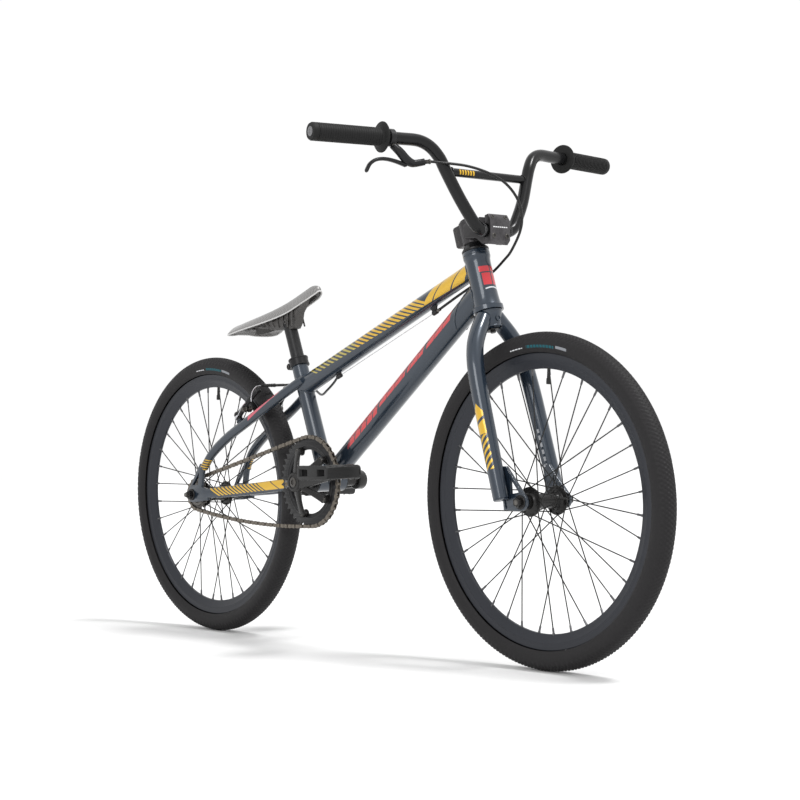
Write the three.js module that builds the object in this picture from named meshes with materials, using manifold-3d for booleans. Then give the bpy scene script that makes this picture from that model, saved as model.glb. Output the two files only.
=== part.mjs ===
// A BMX race bike of the 24 inch cruiser size, as separate solids in millimetres.
// X points forward, Y to the rider's left and Z up. The origin lies on the ground,
// midway between the two wheels.

import * as THREE from 'three';
import { mergeVertices } from 'three/addons/utils/BufferGeometryUtils.js';
import Module from 'manifold-3d';

const wasm = await Module();
wasm.setup();

// ---------------------------------------------------------------- driving dimensions

const GAP = 0.3; // clearance between touching pieces
const RIGHT = -1; // side of the bike: right is -Y
const LEFT = 1;
const SIDES = [RIGHT, LEFT];
const SIDE_NAME = { [RIGHT]: 'right', [LEFT]: 'left' };

const WHEELBASE = 998;
const WHEEL_RADIUS = 295; // 24 x 1.75 tyre on a 507 mm rim
const TYRE_SECTION = 21; // half the width of the tyre
const RIM_OUTER = 259.5;
const RIM_INNER = 230;
const WHEEL_FACETS = 32;
const SPOKES_PER_SIDE = 18;
const SPOKE_RADIUS = 1;
const FRONT_SPACING = 100; // between the fork ends
const REAR_SPACING = 110; // between the frame ends

const HEAD_ANGLE = THREE.MathUtils.degToRad(74.2);
const FORK_OFFSET = 31;
const HEAD_TUBE_TOP = 743;
const HEAD_TUBE_BOTTOM = 632.6;
const HEAD_TUBE_BORE = 19;
const STEERER_RADIUS = 14.3; // 28.6 mm steerer
const STEERER_BORE = STEERER_RADIUS + 0.35; // in the stem and the bearings

const CHAIN_STAY_LENGTH = 395.6;
const BRACKET_HEIGHT = 325.5;
const BRACKET_RADIUS = 21;
const BRACKET_HALF_WIDTH = 34;
const BRACKET_WALL = 3.5;
const SEAT_TUBE_ANGLE = THREE.MathUtils.degToRad(70);
const SEAT_TUBE_LENGTH = 262;
const SEAT_POST_RADIUS = 13.6; // 27.2 mm post

const CHAIN_PITCH = 12.7;
const RING_TEETH = 44;
const COG_TEETH = 16;
const CHAIN_LINE = 45; // from the bike's middle plane to the chain
const CRANK_LENGTH = 178;
const CRANK_ANGLE = THREE.MathUtils.degToRad(7); // right crank forward and a little up
const SPINDLE_RADIUS = 11.9;
const BOLT_CIRCLE = 65; // radius of the chainring bolts
const RING_BOLTS = 5;
const FIRST_BOLT = 40.6; // degrees from forward

const BAR_RADIUS = 11.1;
const BAR_CENTRE = new THREE.Vector3(391, 0, 777);
const GRIP_RADIUS = 16;

// ------------------------------------------------------------------------- materials

const paint = { color: 0x3c4654, roughness: 0.3, metalness: 0.5 };
const black = { color: 0x16171a, roughness: 0.4, metalness: 0.4 };
const darkSteel = { color: 0x55524c, roughness: 0.4, metalness: 0.9 };
const silver = { color: 0xb8b8ba, roughness: 0.3, metalness: 0.9 };
const blackRubber = { color: 0x1c1c1e, roughness: 0.85, metalness: 0 };
const blackPlastic = { color: 0x1e1f21, roughness: 0.55, metalness: 0 };
const smokyShell = { color: 0x8b8884, roughness: 0.35, metalness: 0 };

// ----------------------------------------------------------------------- small tools

const point = (x, y, z) => new THREE.Vector3(x, y, z);
const sideways = point(0, 1, 0);
const lerp = (a, b, t) => a.clone().lerp(b, t);

function toSolid(geometry) {
  const bare = geometry.index ? geometry.toNonIndexed() : geometry.clone();
  bare.deleteAttribute('normal');
  bare.deleteAttribute('uv');
  const merged = mergeVertices(bare, 1e-3);
  return new wasm.Manifold(new wasm.Mesh({
    numProp: 3,
    vertProperties: merged.attributes.position.array,
    triVerts: new Uint32Array(merged.index.array),
  }));
}

function toGeometry(solid) {
  const mesh = solid.getMesh();
  const geometry = new THREE.BufferGeometry();
  geometry.setAttribute('position', new THREE.BufferAttribute(mesh.vertProperties, 3));
  geometry.setIndex(new THREE.BufferAttribute(mesh.triVerts, 1));
  return geometry;
}

const join = (...solids) => solids.reduce((sum, solid) => sum.add(solid));
const cut = (solid, ...cutters) => cutters.reduce((rest, cutter) => rest.subtract(cutter), solid);

// Moves a geometry whose length lies along Y so that it starts at `from` and points to `to`.
// Its local X is turned as near to sideways as the direction allows.
function aim(geometry, from, to) {
  const along = to.clone().sub(from).normalize();
  const across = Math.abs(along.y) > 0.9 ? point(1, 0, 0) : sideways;
  const side = across.clone().addScaledVector(along, -across.dot(along)).normalize();
  const third = side.clone().cross(along);
  const turn = new THREE.Matrix4().makeBasis(side, along, third);
  return geometry.applyMatrix4(turn.setPosition(from));
}

// A straight round or oval rod between two points; `wide` scales it sideways.
function rod(from, to, radiusFrom, radiusTo = radiusFrom, { facets = 16, wide = 1 } = {}) {
  const length = from.distanceTo(to);
  const geometry = new THREE.CylinderGeometry(radiusTo, radiusFrom, length, facets);
  geometry.translate(0, length / 2, 0);
  geometry.scale(wide, 1, 1);
  return toSolid(aim(geometry, from, to));
}

// A turned piece: the profile lists [radius, distance] and closes on itself or on the axis.
function turned(profile, from, to, facets = 20) {
  const outline = profile.map(([radius, along]) => new THREE.Vector2(radius, along));
  return toSolid(aim(new THREE.LatheGeometry(outline, facets), from, to));
}

// A tube wall: like turned(), closed from the outer profile back through the bore.
function sleeve(outer, bore, length, from, to, facets = 20) {
  const profile = [...outer, [bore, length], [bore, 0], outer[0]];
  return turned(profile, from, to, facets);
}

// A rod bent along a smooth curve.
function bent(points, radius, { facets = 8, steps = 24, wide = 1, tension = 0.5 } = {}) {
  const section = new THREE.Shape();
  for (let i = 0; i < facets; i += 1) {
    const turn = (i * 2 * Math.PI) / facets;
    const u = radius * Math.cos(turn);
    const v = radius * wide * Math.sin(turn);
    if (i === 0) section.moveTo(u, v);
    else section.lineTo(u, v);
  }
  section.closePath();
  const extrudePath = new THREE.CatmullRomCurve3(points, false, 'catmullrom', tension);
  return toSolid(new THREE.ExtrudeGeometry(section, { extrudePath, steps, bevelEnabled: false }));
}

function counterClockwise(outline) {
  const points = outline.map(([x, z]) => new THREE.Vector2(x, z));
  return THREE.ShapeUtils.isClockWise(points) ? points.reverse() : points;
}

// A flat plate drawn in the XZ plane and standing between two values of Y.
function plate(outline, yLow, yHigh, holes = []) {
  const shape = new THREE.Shape(counterClockwise(outline));
  shape.holes = holes.map((hole) => new THREE.Path(counterClockwise(hole)));
  const geometry = new THREE.ExtrudeGeometry(shape, { depth: yHigh - yLow, bevelEnabled: false });
  geometry.rotateX(Math.PI / 2);
  geometry.translate(0, yHigh, 0);
  return toSolid(geometry);
}

// Points of an arc in the XZ plane, from one angle to another in degrees.
function arc(x, z, radius, fromDegrees, toDegrees, count) {
  return Array.from({ length: count + 1 }, (_, i) => {
    const turn = THREE.MathUtils.degToRad(fromDegrees + ((toDegrees - fromDegrees) * i) / count);
    return [x + radius * Math.cos(turn), z + radius * Math.sin(turn)];
  });
}

const mirrored = (points, side) => points.map((p) => point(p.x, p.y * side, p.z));

const bike = new THREE.Group();

function addMesh(parent, name, solid, look) {
  const geometry = solid instanceof THREE.BufferGeometry ? solid : toGeometry(solid);
  const mesh = new THREE.Mesh(geometry, new THREE.MeshStandardMaterial(look));
  mesh.name = name;
  parent.add(mesh);
  return mesh;
}

// ------------------------------------------------------------------ main points, axes

const rearAxle = point(-WHEELBASE / 2, 0, WHEEL_RADIUS);
const frontAxle = point(WHEELBASE / 2, 0, WHEEL_RADIUS);

const axisFootX = frontAxle.x - FORK_OFFSET / Math.sin(HEAD_ANGLE);
const onSteeringAxis = (z) => point(axisFootX - (z - WHEEL_RADIUS) / Math.tan(HEAD_ANGLE), 0, z);
const headTop = onSteeringAxis(HEAD_TUBE_TOP);
const headBottom = onSteeringAxis(HEAD_TUBE_BOTTOM);
const upSteering = headTop.clone().sub(headBottom).normalize();
const headLength = headTop.distanceTo(headBottom);
const steering = (along, y = 0) => headBottom.clone().addScaledVector(upSteering, along).setY(y);

const bracketDrop = BRACKET_HEIGHT - WHEEL_RADIUS;
const bracketX = rearAxle.x + Math.sqrt(CHAIN_STAY_LENGTH ** 2 - bracketDrop ** 2);
const bracket = point(bracketX, 0, BRACKET_HEIGHT);
const upSeatTube = point(-Math.cos(SEAT_TUBE_ANGLE), 0, Math.sin(SEAT_TUBE_ANGLE));
const onSeatTube = (along, y = 0) => bracket.clone().addScaledVector(upSeatTube, along).setY(y);

const atSide = (centre, y) => point(centre.x, y, centre.z);

// ------------------------------------------------------------------------------ frame

const TOP_TUBE = { seatEnd: 203, headAlong: 87, atSeat: 19.5, atHead: 15.5, wide: 1.05 };
const DOWN_TUBE = { headAlong: 42.6, atBracket: 20.5, atHead: 22, wide: 0.95 };
const SEAT_TUBE = { bottom: 18, top: 16.5, bore: SEAT_POST_RADIUS + GAP, boreFrom: 30 };
const TUBE_WALL = 2.5;

function headTubeOuter(extra = 0) {
  return [[28 + extra, 0], [28 + extra, 9], [24.5 + extra, 15], [23 + extra, 52], [23 + extra, 96],
    [25 + extra, 102], [25 + extra, headLength]];
}

function mainTube(from, to, radiusFrom, radiusTo, wide, extra) {
  return rod(from, to, radiusFrom + extra, radiusTo + extra, { facets: 16, wide });
}

const seatJoint = onSeatTube(TOP_TUBE.seatEnd);
const topTubeHead = steering(TOP_TUBE.headAlong);
const downTubeHead = steering(DOWN_TUBE.headAlong);

const topTubeRod = (extra) => mainTube(seatJoint, topTubeHead,
  TOP_TUBE.atSeat, TOP_TUBE.atHead, TOP_TUBE.wide, extra);
const downTubeRod = (extra) => mainTube(bracket, downTubeHead,
  DOWN_TUBE.atBracket, DOWN_TUBE.atHead, DOWN_TUBE.wide, extra);
const seatTubeRod = (extra) => rod(bracket, onSeatTube(SEAT_TUBE_LENGTH),
  SEAT_TUBE.bottom + extra, SEAT_TUBE.top + extra, { facets: 20 });
const bracketRod = (radius) => rod(atSide(bracket, -BRACKET_HALF_WIDTH - 1),
  atSide(bracket, BRACKET_HALF_WIDTH + 1), radius, radius, { facets: 24 });
const headTubeRod = (extra) => turned([[0, 0], ...headTubeOuter(extra), [0, headLength]],
  headBottom, headTop);

function addFrameTubes() {
  const headTube = sleeve(headTubeOuter(), HEAD_TUBE_BORE, headLength, headBottom, headTop, 24);
  addMesh(bike, 'head_tube', headTube, paint);

  const stops = cut(join(...cableStops), topTubeRod(-TUBE_WALL / 2));
  const topTube = cut(topTubeRod(0), topTubeRod(-TUBE_WALL), headTubeRod(GAP), seatTubeRod(GAP));
  addMesh(bike, 'top_tube', cut(join(topTube, stops), downTubeRod(GAP)), paint);

  const bracketSpace = bracketRod(BRACKET_RADIUS + GAP);
  const downTube = cut(downTubeRod(0), downTubeRod(-TUBE_WALL), headTubeRod(GAP), bracketSpace);
  addMesh(bike, 'down_tube', cut(downTube, seatTubeRod(GAP)), paint);

  const postBore = rod(onSeatTube(SEAT_TUBE.boreFrom), onSeatTube(SEAT_TUBE_LENGTH + 10),
    SEAT_TUBE.bore, SEAT_TUBE.bore, { facets: 20 });
  addMesh(bike, 'seat_tube', cut(seatTubeRod(0), postBore, bracketSpace), paint);

  const shellLength = 2 * BRACKET_HALF_WIDTH;
  const shell = sleeve([[BRACKET_RADIUS, 0], [BRACKET_RADIUS, shellLength]], BRACKET_RADIUS - BRACKET_WALL,
    shellLength, atSide(bracket, -BRACKET_HALF_WIDTH), atSide(bracket, BRACKET_HALF_WIDTH), 24);
  addMesh(bike, 'bottom_bracket_shell', shell, paint);
}

// Two small stops hang under the top tube and hold the ends of the cable housing.
const STOP_LENGTH = 12;
const STOP_RADIUS = 4.6;
const STOP_WEB = { height: 16, atBarrel: 2.5, atTube: 4 };
const frontStop = point(227.4, 0, 641.2);
const rearStop = point(-61, 0, 533.5);
const wireLine = frontStop.clone().sub(rearStop).normalize();
const downFromTube = point(wireLine.z, 0, -wireLine.x);

function cableStop(centre) {
  const half = wireLine.clone().multiplyScalar(STOP_LENGTH / 2);
  const barrel = rod(centre.clone().sub(half), centre.clone().add(half), STOP_RADIUS, STOP_RADIUS,
    { facets: 8 });
  const foot = centre.clone().addScaledVector(downFromTube, 3);
  const webTop = foot.clone().addScaledVector(downFromTube, -STOP_WEB.height);
  const web = rod(foot, webTop, STOP_WEB.atBarrel, STOP_WEB.atTube, { facets: 6 });
  return join(barrel, web);
}

const cableStops = [cableStop(frontStop), cableStop(rearStop)];

// The brake arms turn on posts that stand on the seat stays and lean back with the rim.
const BRAKE_TILT = THREE.MathUtils.degToRad(40);
const alongArm = point(Math.cos(BRAKE_TILT), 0, Math.sin(BRAKE_TILT));
const brakePost = point(-Math.sin(BRAKE_TILT), 0, Math.cos(BRAKE_TILT));
const BRAKE_PIVOT = { x: -345, y: 43, z: 456 };
const POST = { radius: 6.5, from: -24, to: -6.3 }; // along the post, from the pivot's middle
const brakePivot = (side) => point(BRAKE_PIVOT.x, side * BRAKE_PIVOT.y, BRAKE_PIVOT.z);
const onPost = (side, along) => brakePivot(side).addScaledVector(brakePost, along);

// Chain stays and seat stays run from the seat tube and the bracket to the frame ends.
const SEAT_STAY_RADIUS = 9.5;
const CHAIN_STAY = { halfHeight: 12, wide: 0.5 };
const END_THICKNESS = 6.5;
const DROPOUT_IN = REAR_SPACING / 2;
const DROPOUT_OUT = DROPOUT_IN + END_THICKNESS;
const AXLE_RADIUS = 4.9;
const AXLE_SLOT = AXLE_RADIUS + 0.5;

const seatStayPath = [
  point(-158, 17, 529.5), point(-181, 23.5, 516.7), point(-211.6, 31, 499.8), point(-262.9, 38.5, 473.1),
  point(-320, 43.5, 445.2), point(-378.9, 47.5, 416.8), point(-429.7, 52, 383.7), point(-457, 56.5, 352),
];
const chainStayPath = [
  point(-120, 24, 322), point(-160, 29.5, 320), point(-202, 34, 317.5), point(-245, 37.5, 314),
  point(-300, 42, 309), point(-360, 47, 304), point(-410, 53, 300.5), point(-442, 58, 298),
];

function dropoutPlate(side) {
  const { x, z } = rearAxle;
  const outline = [...arc(x, z, 16, 135, 270, 6), [x + 24, z - 15], [x + 60, z - 11], [x + 60, z + 12],
    [x + 38, z + 17], [x + 47, z + 58], [x + 33, z + 66]];
  const gusset = [[x + 4, z + 21], [x + 29, z + 47], [x + 24, z + 21]];
  const slot = [[x + AXLE_SLOT, z - 4], ...arc(x, z, AXLE_SLOT, -90, -270, 8), [x + AXLE_SLOT, z + 4]];
  const [low, high] = side === RIGHT ? [-DROPOUT_OUT, -DROPOUT_IN] : [DROPOUT_IN, DROPOUT_OUT];
  return plate(outline, low, high, [gusset, slot]);
}

function addStays(side) {
  const name = SIDE_NAME[side];
  const dropout = dropoutPlate(side);
  const dropoutSpace = (outline) => plate(outline, ...(side === RIGHT
    ? [-DROPOUT_OUT - GAP, -DROPOUT_IN + GAP] : [DROPOUT_IN - GAP, DROPOUT_OUT + GAP]));
  const { x, z } = rearAxle;
  const endSpace = dropoutSpace([[x - 20, z - 20], [x + 60.4, z - 20], [x + 60.4, z + 17], [x + 40, z + 17.4],
    [x + 47.4, z + 58.4], [x + 33, z + 66.4], [x - 20, z + 30]]);

  const seatStay = bent(mirrored(seatStayPath, side), SEAT_STAY_RADIUS, { facets: 10, steps: 12 });
  const post = rod(onPost(side, POST.from), onPost(side, POST.to), POST.radius, POST.radius, { facets: 12 });
  const seatStayCuts = [seatTubeRod(GAP), topTubeRod(GAP), endSpace];
  addMesh(bike, `seat_stay_${name}`, cut(join(seatStay, post), ...seatStayCuts), paint);

  const chainStay = bent(mirrored(chainStayPath, side), CHAIN_STAY.halfHeight,
    { facets: 10, steps: 10, wide: CHAIN_STAY.wide });
  const stayCuts = [bracketRod(BRACKET_RADIUS + GAP), seatTubeRod(GAP), downTubeRod(GAP), endSpace];
  addMesh(bike, `chain_stay_${name}`, cut(chainStay, ...stayCuts), paint);
  addMesh(bike, `dropout_${name}`, dropout, paint);
}

// Bearings of the headset, and the cups that hold the bottom bracket's bearings.
function addBearings() {
  const bearingRadius = HEAD_TUBE_BORE - 0.4;
  const height = 7;
  const ring = (from, to) => sleeve([[bearingRadius, 0], [bearingRadius, height]], STEERER_BORE, height,
    from, to, 16);
  addMesh(bike, 'headset_bearing_upper', ring(steering(headLength - height - 1), headTop), darkSteel);
  addMesh(bike, 'headset_bearing_lower', ring(steering(1), headTop), darkSteel);

  SIDES.forEach((side) => {
    const face = atSide(bracket, side * (BRACKET_HALF_WIDTH + 3));
    const inner = atSide(bracket, side * (BRACKET_HALF_WIDTH - 14));
    const cupRadius = BRACKET_RADIUS - BRACKET_WALL - GAP;
    const lipRadius = BRACKET_RADIUS - 1;
    const lipFrom = 14 + GAP;
    const bore = SPINDLE_RADIUS + 0.6;
    const profile = [[cupRadius, 0], [cupRadius, lipFrom], [lipRadius, lipFrom], [lipRadius, 17],
      [bore, 17], [bore, 0], [cupRadius, 0]];
    addMesh(bike, `bracket_cup_${SIDE_NAME[side]}`, turned(profile, inner, face, 16), black);
  });
}

function addSeatClamp() {
  const from = onSeatTube(SEAT_TUBE_LENGTH - 15);
  const to = onSeatTube(SEAT_TUBE_LENGTH + 3);
  const outer = 20.5;
  const profile = [[outer, 0], [outer, 18], [SEAT_POST_RADIUS + 0.5, 18], [SEAT_POST_RADIUS + 0.5, 15.5],
    [SEAT_TUBE.top + 0.5, 15.2], [SEAT_TUBE.top + 0.9, 0], [outer, 0]];
  const collar = turned(profile, from, to, 16);
  const behind = onSeatTube(SEAT_TUBE_LENGTH - 6).add(point(-22, 0, -8));
  const ears = rod(behind.clone().setY(-11), behind.clone().setY(11), 7.5, 7.5, { facets: 12 });
  const clear = rod(onSeatTube(200), onSeatTube(SEAT_TUBE_LENGTH + 9), SEAT_TUBE.top + 1, SEAT_TUBE.top + 1);
  addMesh(bike, 'seat_clamp', join(collar, cut(ears, clear)), black);
}

// ------------------------------------------------------------------ saddle and its post

const SADDLE = { tail: -384, nose: -118, halfWidth: 62, noseHalf: 13, tailZ: 640, noseZ: 727 };

// Height of the saddle's upper face along its middle line; t runs from tail to nose.
function saddleRidge(t) {
  const dip = 5.5 * Math.sin(Math.PI * t);
  return THREE.MathUtils.lerp(SADDLE.tailZ + 6, SADDLE.noseZ, t) - dip + 5 * Math.max(0, 0.15 - t) / 0.15;
}

function saddleHalfWidth(t) {
  const body = THREE.MathUtils.smoothstep(1 - t, 0.3, 0.92);
  const ends = Math.sqrt(Math.max(0, 1 - (Math.abs(2 * t - 1)) ** 9));
  return (SADDLE.noseHalf + (SADDLE.halfWidth - SADDLE.noseHalf) * body) * ends + 1;
}

function saddleShell() {
  const shell = new THREE.BoxGeometry(1, 1, 1, 12, 6, 1);
  const positions = shell.attributes.position;
  for (let i = 0; i < positions.count; i += 1) {
    const t = positions.getX(i) + 0.5;
    const across = positions.getY(i) * 2;
    const isTop = positions.getZ(i) > 0;
    const half = saddleHalfWidth(t);
    const droop = (9 + 5 * t) * Math.abs(across) ** 2.4;
    const thickness = 4 + 9 * t;
    const y = across * half;
    const z = saddleRidge(t) - droop - (isTop ? 0 : thickness * (1 - 0.55 * Math.abs(across)));
    positions.setXYZ(i, THREE.MathUtils.lerp(SADDLE.tail, SADDLE.nose, t), y, z);
  }
  return toSolid(shell);
}

function addSeat() {
  const seat = new THREE.Group();
  bike.add(seat);
  const postTop = onSeatTube(348);
  const post = rod(onSeatTube(160), postTop, SEAT_POST_RADIUS, SEAT_POST_RADIUS, { facets: 20 });
  addMesh(seat, 'seat_post', post, black);

  const bodyTop = [[-338, 652], [-300, 668], [-245, 686], [-190, 704], [-152, 716], [-160, 690], [-185, 668],
    [-197, 634], [-246, 634], [-300, 645]];
  const keel = plate(bodyTop, -17, 17);
  const socket = rod(onSeatTube(200), onSeatTube(348 + GAP), SEAT_POST_RADIUS + GAP, SEAT_POST_RADIUS + GAP,
    { facets: 20 });
  addMesh(seat, 'saddle', cut(join(saddleShell(), keel), socket), smokyShell);
}

// ----------------------------------------------------------------------------- wheels

function tyreProfile() {
  const centre = WHEEL_RADIUS - TYRE_SECTION;
  const wall = 3;
  const outer = arc(centre, 0, TYRE_SECTION, -140, 140, 8);
  const inner = arc(centre, 0, TYRE_SECTION - wall, 130, -130, 4);
  return [...outer, ...inner, outer[0]];
}

function rimProfile() {
  const outer = [[RIM_OUTER - 1.5, 9.7], [RIM_OUTER - 13, 9.7], [RIM_INNER, 3.5], [RIM_INNER, -3.5],
    [RIM_OUTER - 13, -9.7], [RIM_OUTER - 1.5, -9.7]];
  const inner = [[RIM_OUTER - 1.5, -7.6], [RIM_OUTER - 13, -7.6], [RIM_INNER + 3, -1.5], [RIM_INNER + 3, 1.5],
    [RIM_OUTER - 13, 7.6], [RIM_OUTER - 1.5, 7.6]];
  return [...outer, ...inner, outer[0]];
}

const FLANGE_RADIUS = 26;
const SPOKE_HOLES = 22;
const HUB_END_RADIUS = 13;
const HUB_BORE = 6;

function hubProfile(flangeY, endY, bodyRadius) {
  const half = [[FLANGE_RADIUS, flangeY - 1.5], [FLANGE_RADIUS, flangeY + 1.5], [HUB_END_RADIUS, flangeY + 2],
    [HUB_END_RADIUS, endY], [HUB_BORE, endY]];
  const otherHalf = half.map(([r, y]) => [r, -y]).reverse();
  return [...otherHalf, [bodyRadius, -flangeY + 5], [bodyRadius, flangeY - 5], ...half, otherHalf[0]];
}

// Half of one side's spokes lead and half trail, and they pass each other three times.
// A thin ring on the flange stands for the spoke heads and keeps the set in one piece.
function spokeSet(side, flangeY) {
  const step = (2 * Math.PI) / SPOKES_PER_SIDE;
  const middle = flangeY + 5;
  const ring = new THREE.LatheGeometry([
    [SPOKE_HOLES - 1, side * (middle - 2)], [SPOKE_HOLES + 1, side * (middle - 2)],
    [SPOKE_HOLES + 1, side * (middle + 2)], [SPOKE_HOLES - 1, side * (middle + 2)],
    [SPOKE_HOLES - 1, side * (middle - 2)],
  ].map(([r, y]) => new THREE.Vector2(r, y)), SPOKES_PER_SIDE);
  if (side === RIGHT) ring.index.array.reverse();
  const spokes = [toSolid(ring)];
  for (let i = 0; i < SPOKES_PER_SIDE; i += 1) {
    const leading = i % 2 === 0 ? 1 : -1;
    const hubAngle = i * step + (side * step) / 4;
    const rimAngle = hubAngle + leading * step * 3;
    const from = point(Math.sin(hubAngle) * SPOKE_HOLES, side * (middle + leading * 1.2),
      Math.cos(hubAngle) * SPOKE_HOLES);
    const rimEnd = RIM_INNER * Math.cos(Math.PI / WHEEL_FACETS) - 0.8;
    const to = point(Math.sin(rimAngle) * rimEnd, side * (1.3 + leading), Math.cos(rimAngle) * rimEnd);
    spokes.push(rod(from, to, SPOKE_RADIUS, SPOKE_RADIUS, { facets: 3 }));
  }
  return join(...spokes);
}

function addWheel(name, axle, flangeY, spacing, bodyRadius) {
  const wheel = new THREE.Group();
  wheel.position.copy(axle);
  bike.add(wheel);
  const lathe = (profile) => toSolid(new THREE.LatheGeometry(
    profile.map(([r, y]) => new THREE.Vector2(r, y)), WHEEL_FACETS));
  const rim = lathe(rimProfile());
  const tyre = cut(lathe(tyreProfile()), lathe([[240, -9.7 - GAP], [RIM_OUTER - 1.2, -9.7 - GAP],
    [RIM_OUTER - 1.2, 9.7 + GAP], [240, 9.7 + GAP], [240, -9.7 - GAP]]));
  addMesh(wheel, `${name}_tyre`, tyre, blackRubber);
  addMesh(wheel, `${name}_rim`, rim, black);
  const hub = new THREE.LatheGeometry(
    hubProfile(flangeY, spacing / 2 - 5, bodyRadius).map(([r, y]) => new THREE.Vector2(r, y)), 16);
  addMesh(wheel, `${name}_hub`, toSolid(hub), black);
  SIDES.forEach((side) => {
    addMesh(wheel, `${name}_spokes_${SIDE_NAME[side]}`, spokeSet(side, flangeY), black);
  });
}

const NUT = { flange: 12.5, flangeThickness: 2.5, hex: 9, height: 11 };

function addAxle(name, axle, halfLength, spacing) {
  const shaft = rod(atSide(axle, -halfLength), atSide(axle, halfLength), AXLE_RADIUS, AXLE_RADIUS,
    { facets: 12 });
  addMesh(bike, `${name}_axle`, shaft, darkSteel);
  SIDES.forEach((side) => {
    const face = spacing / 2 + END_THICKNESS + GAP;
    const bore = AXLE_RADIUS + GAP;
    const profile = [[bore, 0], [NUT.flange, 0], [NUT.flange, NUT.flangeThickness],
      [NUT.hex, NUT.flangeThickness + 0.5], [NUT.hex, NUT.height], [bore, NUT.height], [bore, 0]];
    const nut = turned(profile, atSide(axle, side * face), atSide(axle, side * (face + NUT.height)), 12);
    addMesh(bike, `${name}_axle_nut_${SIDE_NAME[side]}`, nut, black);
  });
}

// ------------------------------------------------------------------------- drivetrain

const pitchRadius = (teeth) => CHAIN_PITCH / 2 / Math.sin(Math.PI / teeth);
const RING_ROOT = pitchRadius(RING_TEETH) - 4.4;
const COG_ROOT = pitchRadius(COG_TEETH) - 4.7;
const CHAIN_SAG = 10; // of the lower run
const CHAIN_HALF_WIDTH = 4;
const LINK_HALF_HEIGHT = 4;
const FREEWHEEL = { bore: 18, body: 24, teeth: 3, width: 9 };

// The chain's path: round the ring, back along the sagging lower run, round the cog
// and forward along the tight upper run. `offset` moves it off the pitch line.
function chainOutline(offset) {
  const ringRadius = pitchRadius(RING_TEETH) + offset;
  const cogRadius = pitchRadius(COG_TEETH) + offset;
  const slope = Math.atan2(bracket.z - rearAxle.z, bracket.x - rearAxle.x);
  const lean = Math.asin((ringRadius - cogRadius) / CHAIN_STAY_LENGTH);
  const degrees = THREE.MathUtils.radToDeg;
  const top = degrees(slope + Math.PI / 2 + lean);
  const bottom = degrees(slope - Math.PI / 2 - lean);
  const ring = arc(bracket.x, bracket.z, ringRadius, top, bottom, 24);
  const cog = arc(rearAxle.x, rearAxle.z, cogRadius, bottom + 360, top, 14);
  const [x0, z0] = ring[ring.length - 1];
  const [x1, z1] = cog[0];
  const sag = [0.2, 0.4, 0.6, 0.8].map((t) => [
    THREE.MathUtils.lerp(x0, x1, t), THREE.MathUtils.lerp(z0, z1, t) - 4 * CHAIN_SAG * t * (1 - t)]);
  return [...ring, ...sag, ...cog];
}

function addDrivetrain() {
  const chain = plate(chainOutline(LINK_HALF_HEIGHT + 0.2), -CHAIN_LINE - CHAIN_HALF_WIDTH,
    -CHAIN_LINE + CHAIN_HALF_WIDTH, [chainOutline(-LINK_HALF_HEIGHT)]);
  addMesh(bike, 'chain', chain, darkSteel);

  const { bore, body, teeth, width } = FREEWHEEL;
  const cogProfile = [[bore, 0], [COG_ROOT, 0], [COG_ROOT, teeth], [body, teeth], [body, width],
    [bore, width], [bore, 0]];
  const outerFace = -CHAIN_LINE - teeth / 2;
  const cog = turned(cogProfile, atSide(rearAxle, outerFace), atSide(rearAxle, outerFace + width), 16);
  addMesh(bike, 'freewheel_cog', cog, darkSteel);
}

const crankTip = (side, y) => point(
  bracket.x - side * CRANK_LENGTH * Math.cos(CRANK_ANGLE), y,
  bracket.z - side * CRANK_LENGTH * Math.sin(CRANK_ANGLE));

const ARM_INNER = 74;
const ARM_TIP_INNER = 80;
const ARM_THICKNESS = 13;
const BOSS_RADIUS = 19;
const EYE_RADIUS = 14.5;
const RING_THICKNESS = 3.2;
const RING_OUTER_FACE = -CHAIN_LINE - RING_THICKNESS / 2;

function crankArm(side) {
  const direction = crankTip(side, 0).sub(bracket).normalize();
  const shape = [[0, 17, 0], [0.35, 13.5, 2], [0.75, 12, 5], [1, 12.5, ARM_TIP_INNER - ARM_INNER]];
  const pieces = [];
  for (let i = 0; i < shape.length - 1; i += 1) {
    const [t0, half0, out0] = shape[i];
    const [t1, half1, out1] = shape[i + 1];
    const box = new THREE.BoxGeometry(1, 1, 1);
    const positions = box.attributes.position;
    for (let k = 0; k < positions.count; k += 1) {
      const end = positions.getX(k) > 0;
      const along = (end ? t1 : t0) * CRANK_LENGTH;
      const half = (end ? half1 : half0) * 2 * positions.getZ(k);
      const y = ARM_INNER + (end ? out1 : out0) + ARM_THICKNESS * (positions.getY(k) + 0.5);
      positions.setXYZ(k, along, y, half);
    }
    pieces.push(box);
  }
  const turn = Math.atan2(direction.z, direction.x);
  const solids = pieces.map((box) => {
    if (side === RIGHT) {
      box.scale(1, -1, 1);
      box.index.array.reverse();
    }
    box.rotateY(-turn);
    box.translate(bracket.x, 0, bracket.z);
    return toSolid(box);
  });
  const boss = rod(atSide(bracket, side * (ARM_INNER - 6)),
    atSide(bracket, side * (ARM_INNER + ARM_THICKNESS + 1)), BOSS_RADIUS, BOSS_RADIUS, { facets: 24 });
  const eye = rod(crankTip(side, side * (ARM_TIP_INNER - 0.5)),
    crankTip(side, side * (ARM_TIP_INNER + ARM_THICKNESS + 0.5)), EYE_RADIUS, EYE_RADIUS, { facets: 20 });
  return join(boss, eye, ...solids);
}

function boltPoints() {
  return Array.from({ length: RING_BOLTS }, (_, i) => {
    const turn = THREE.MathUtils.degToRad(FIRST_BOLT + (i * 360) / RING_BOLTS);
    return point(bracket.x + BOLT_CIRCLE * Math.cos(turn), 0, bracket.z + BOLT_CIRCLE * Math.sin(turn));
  });
}

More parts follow.
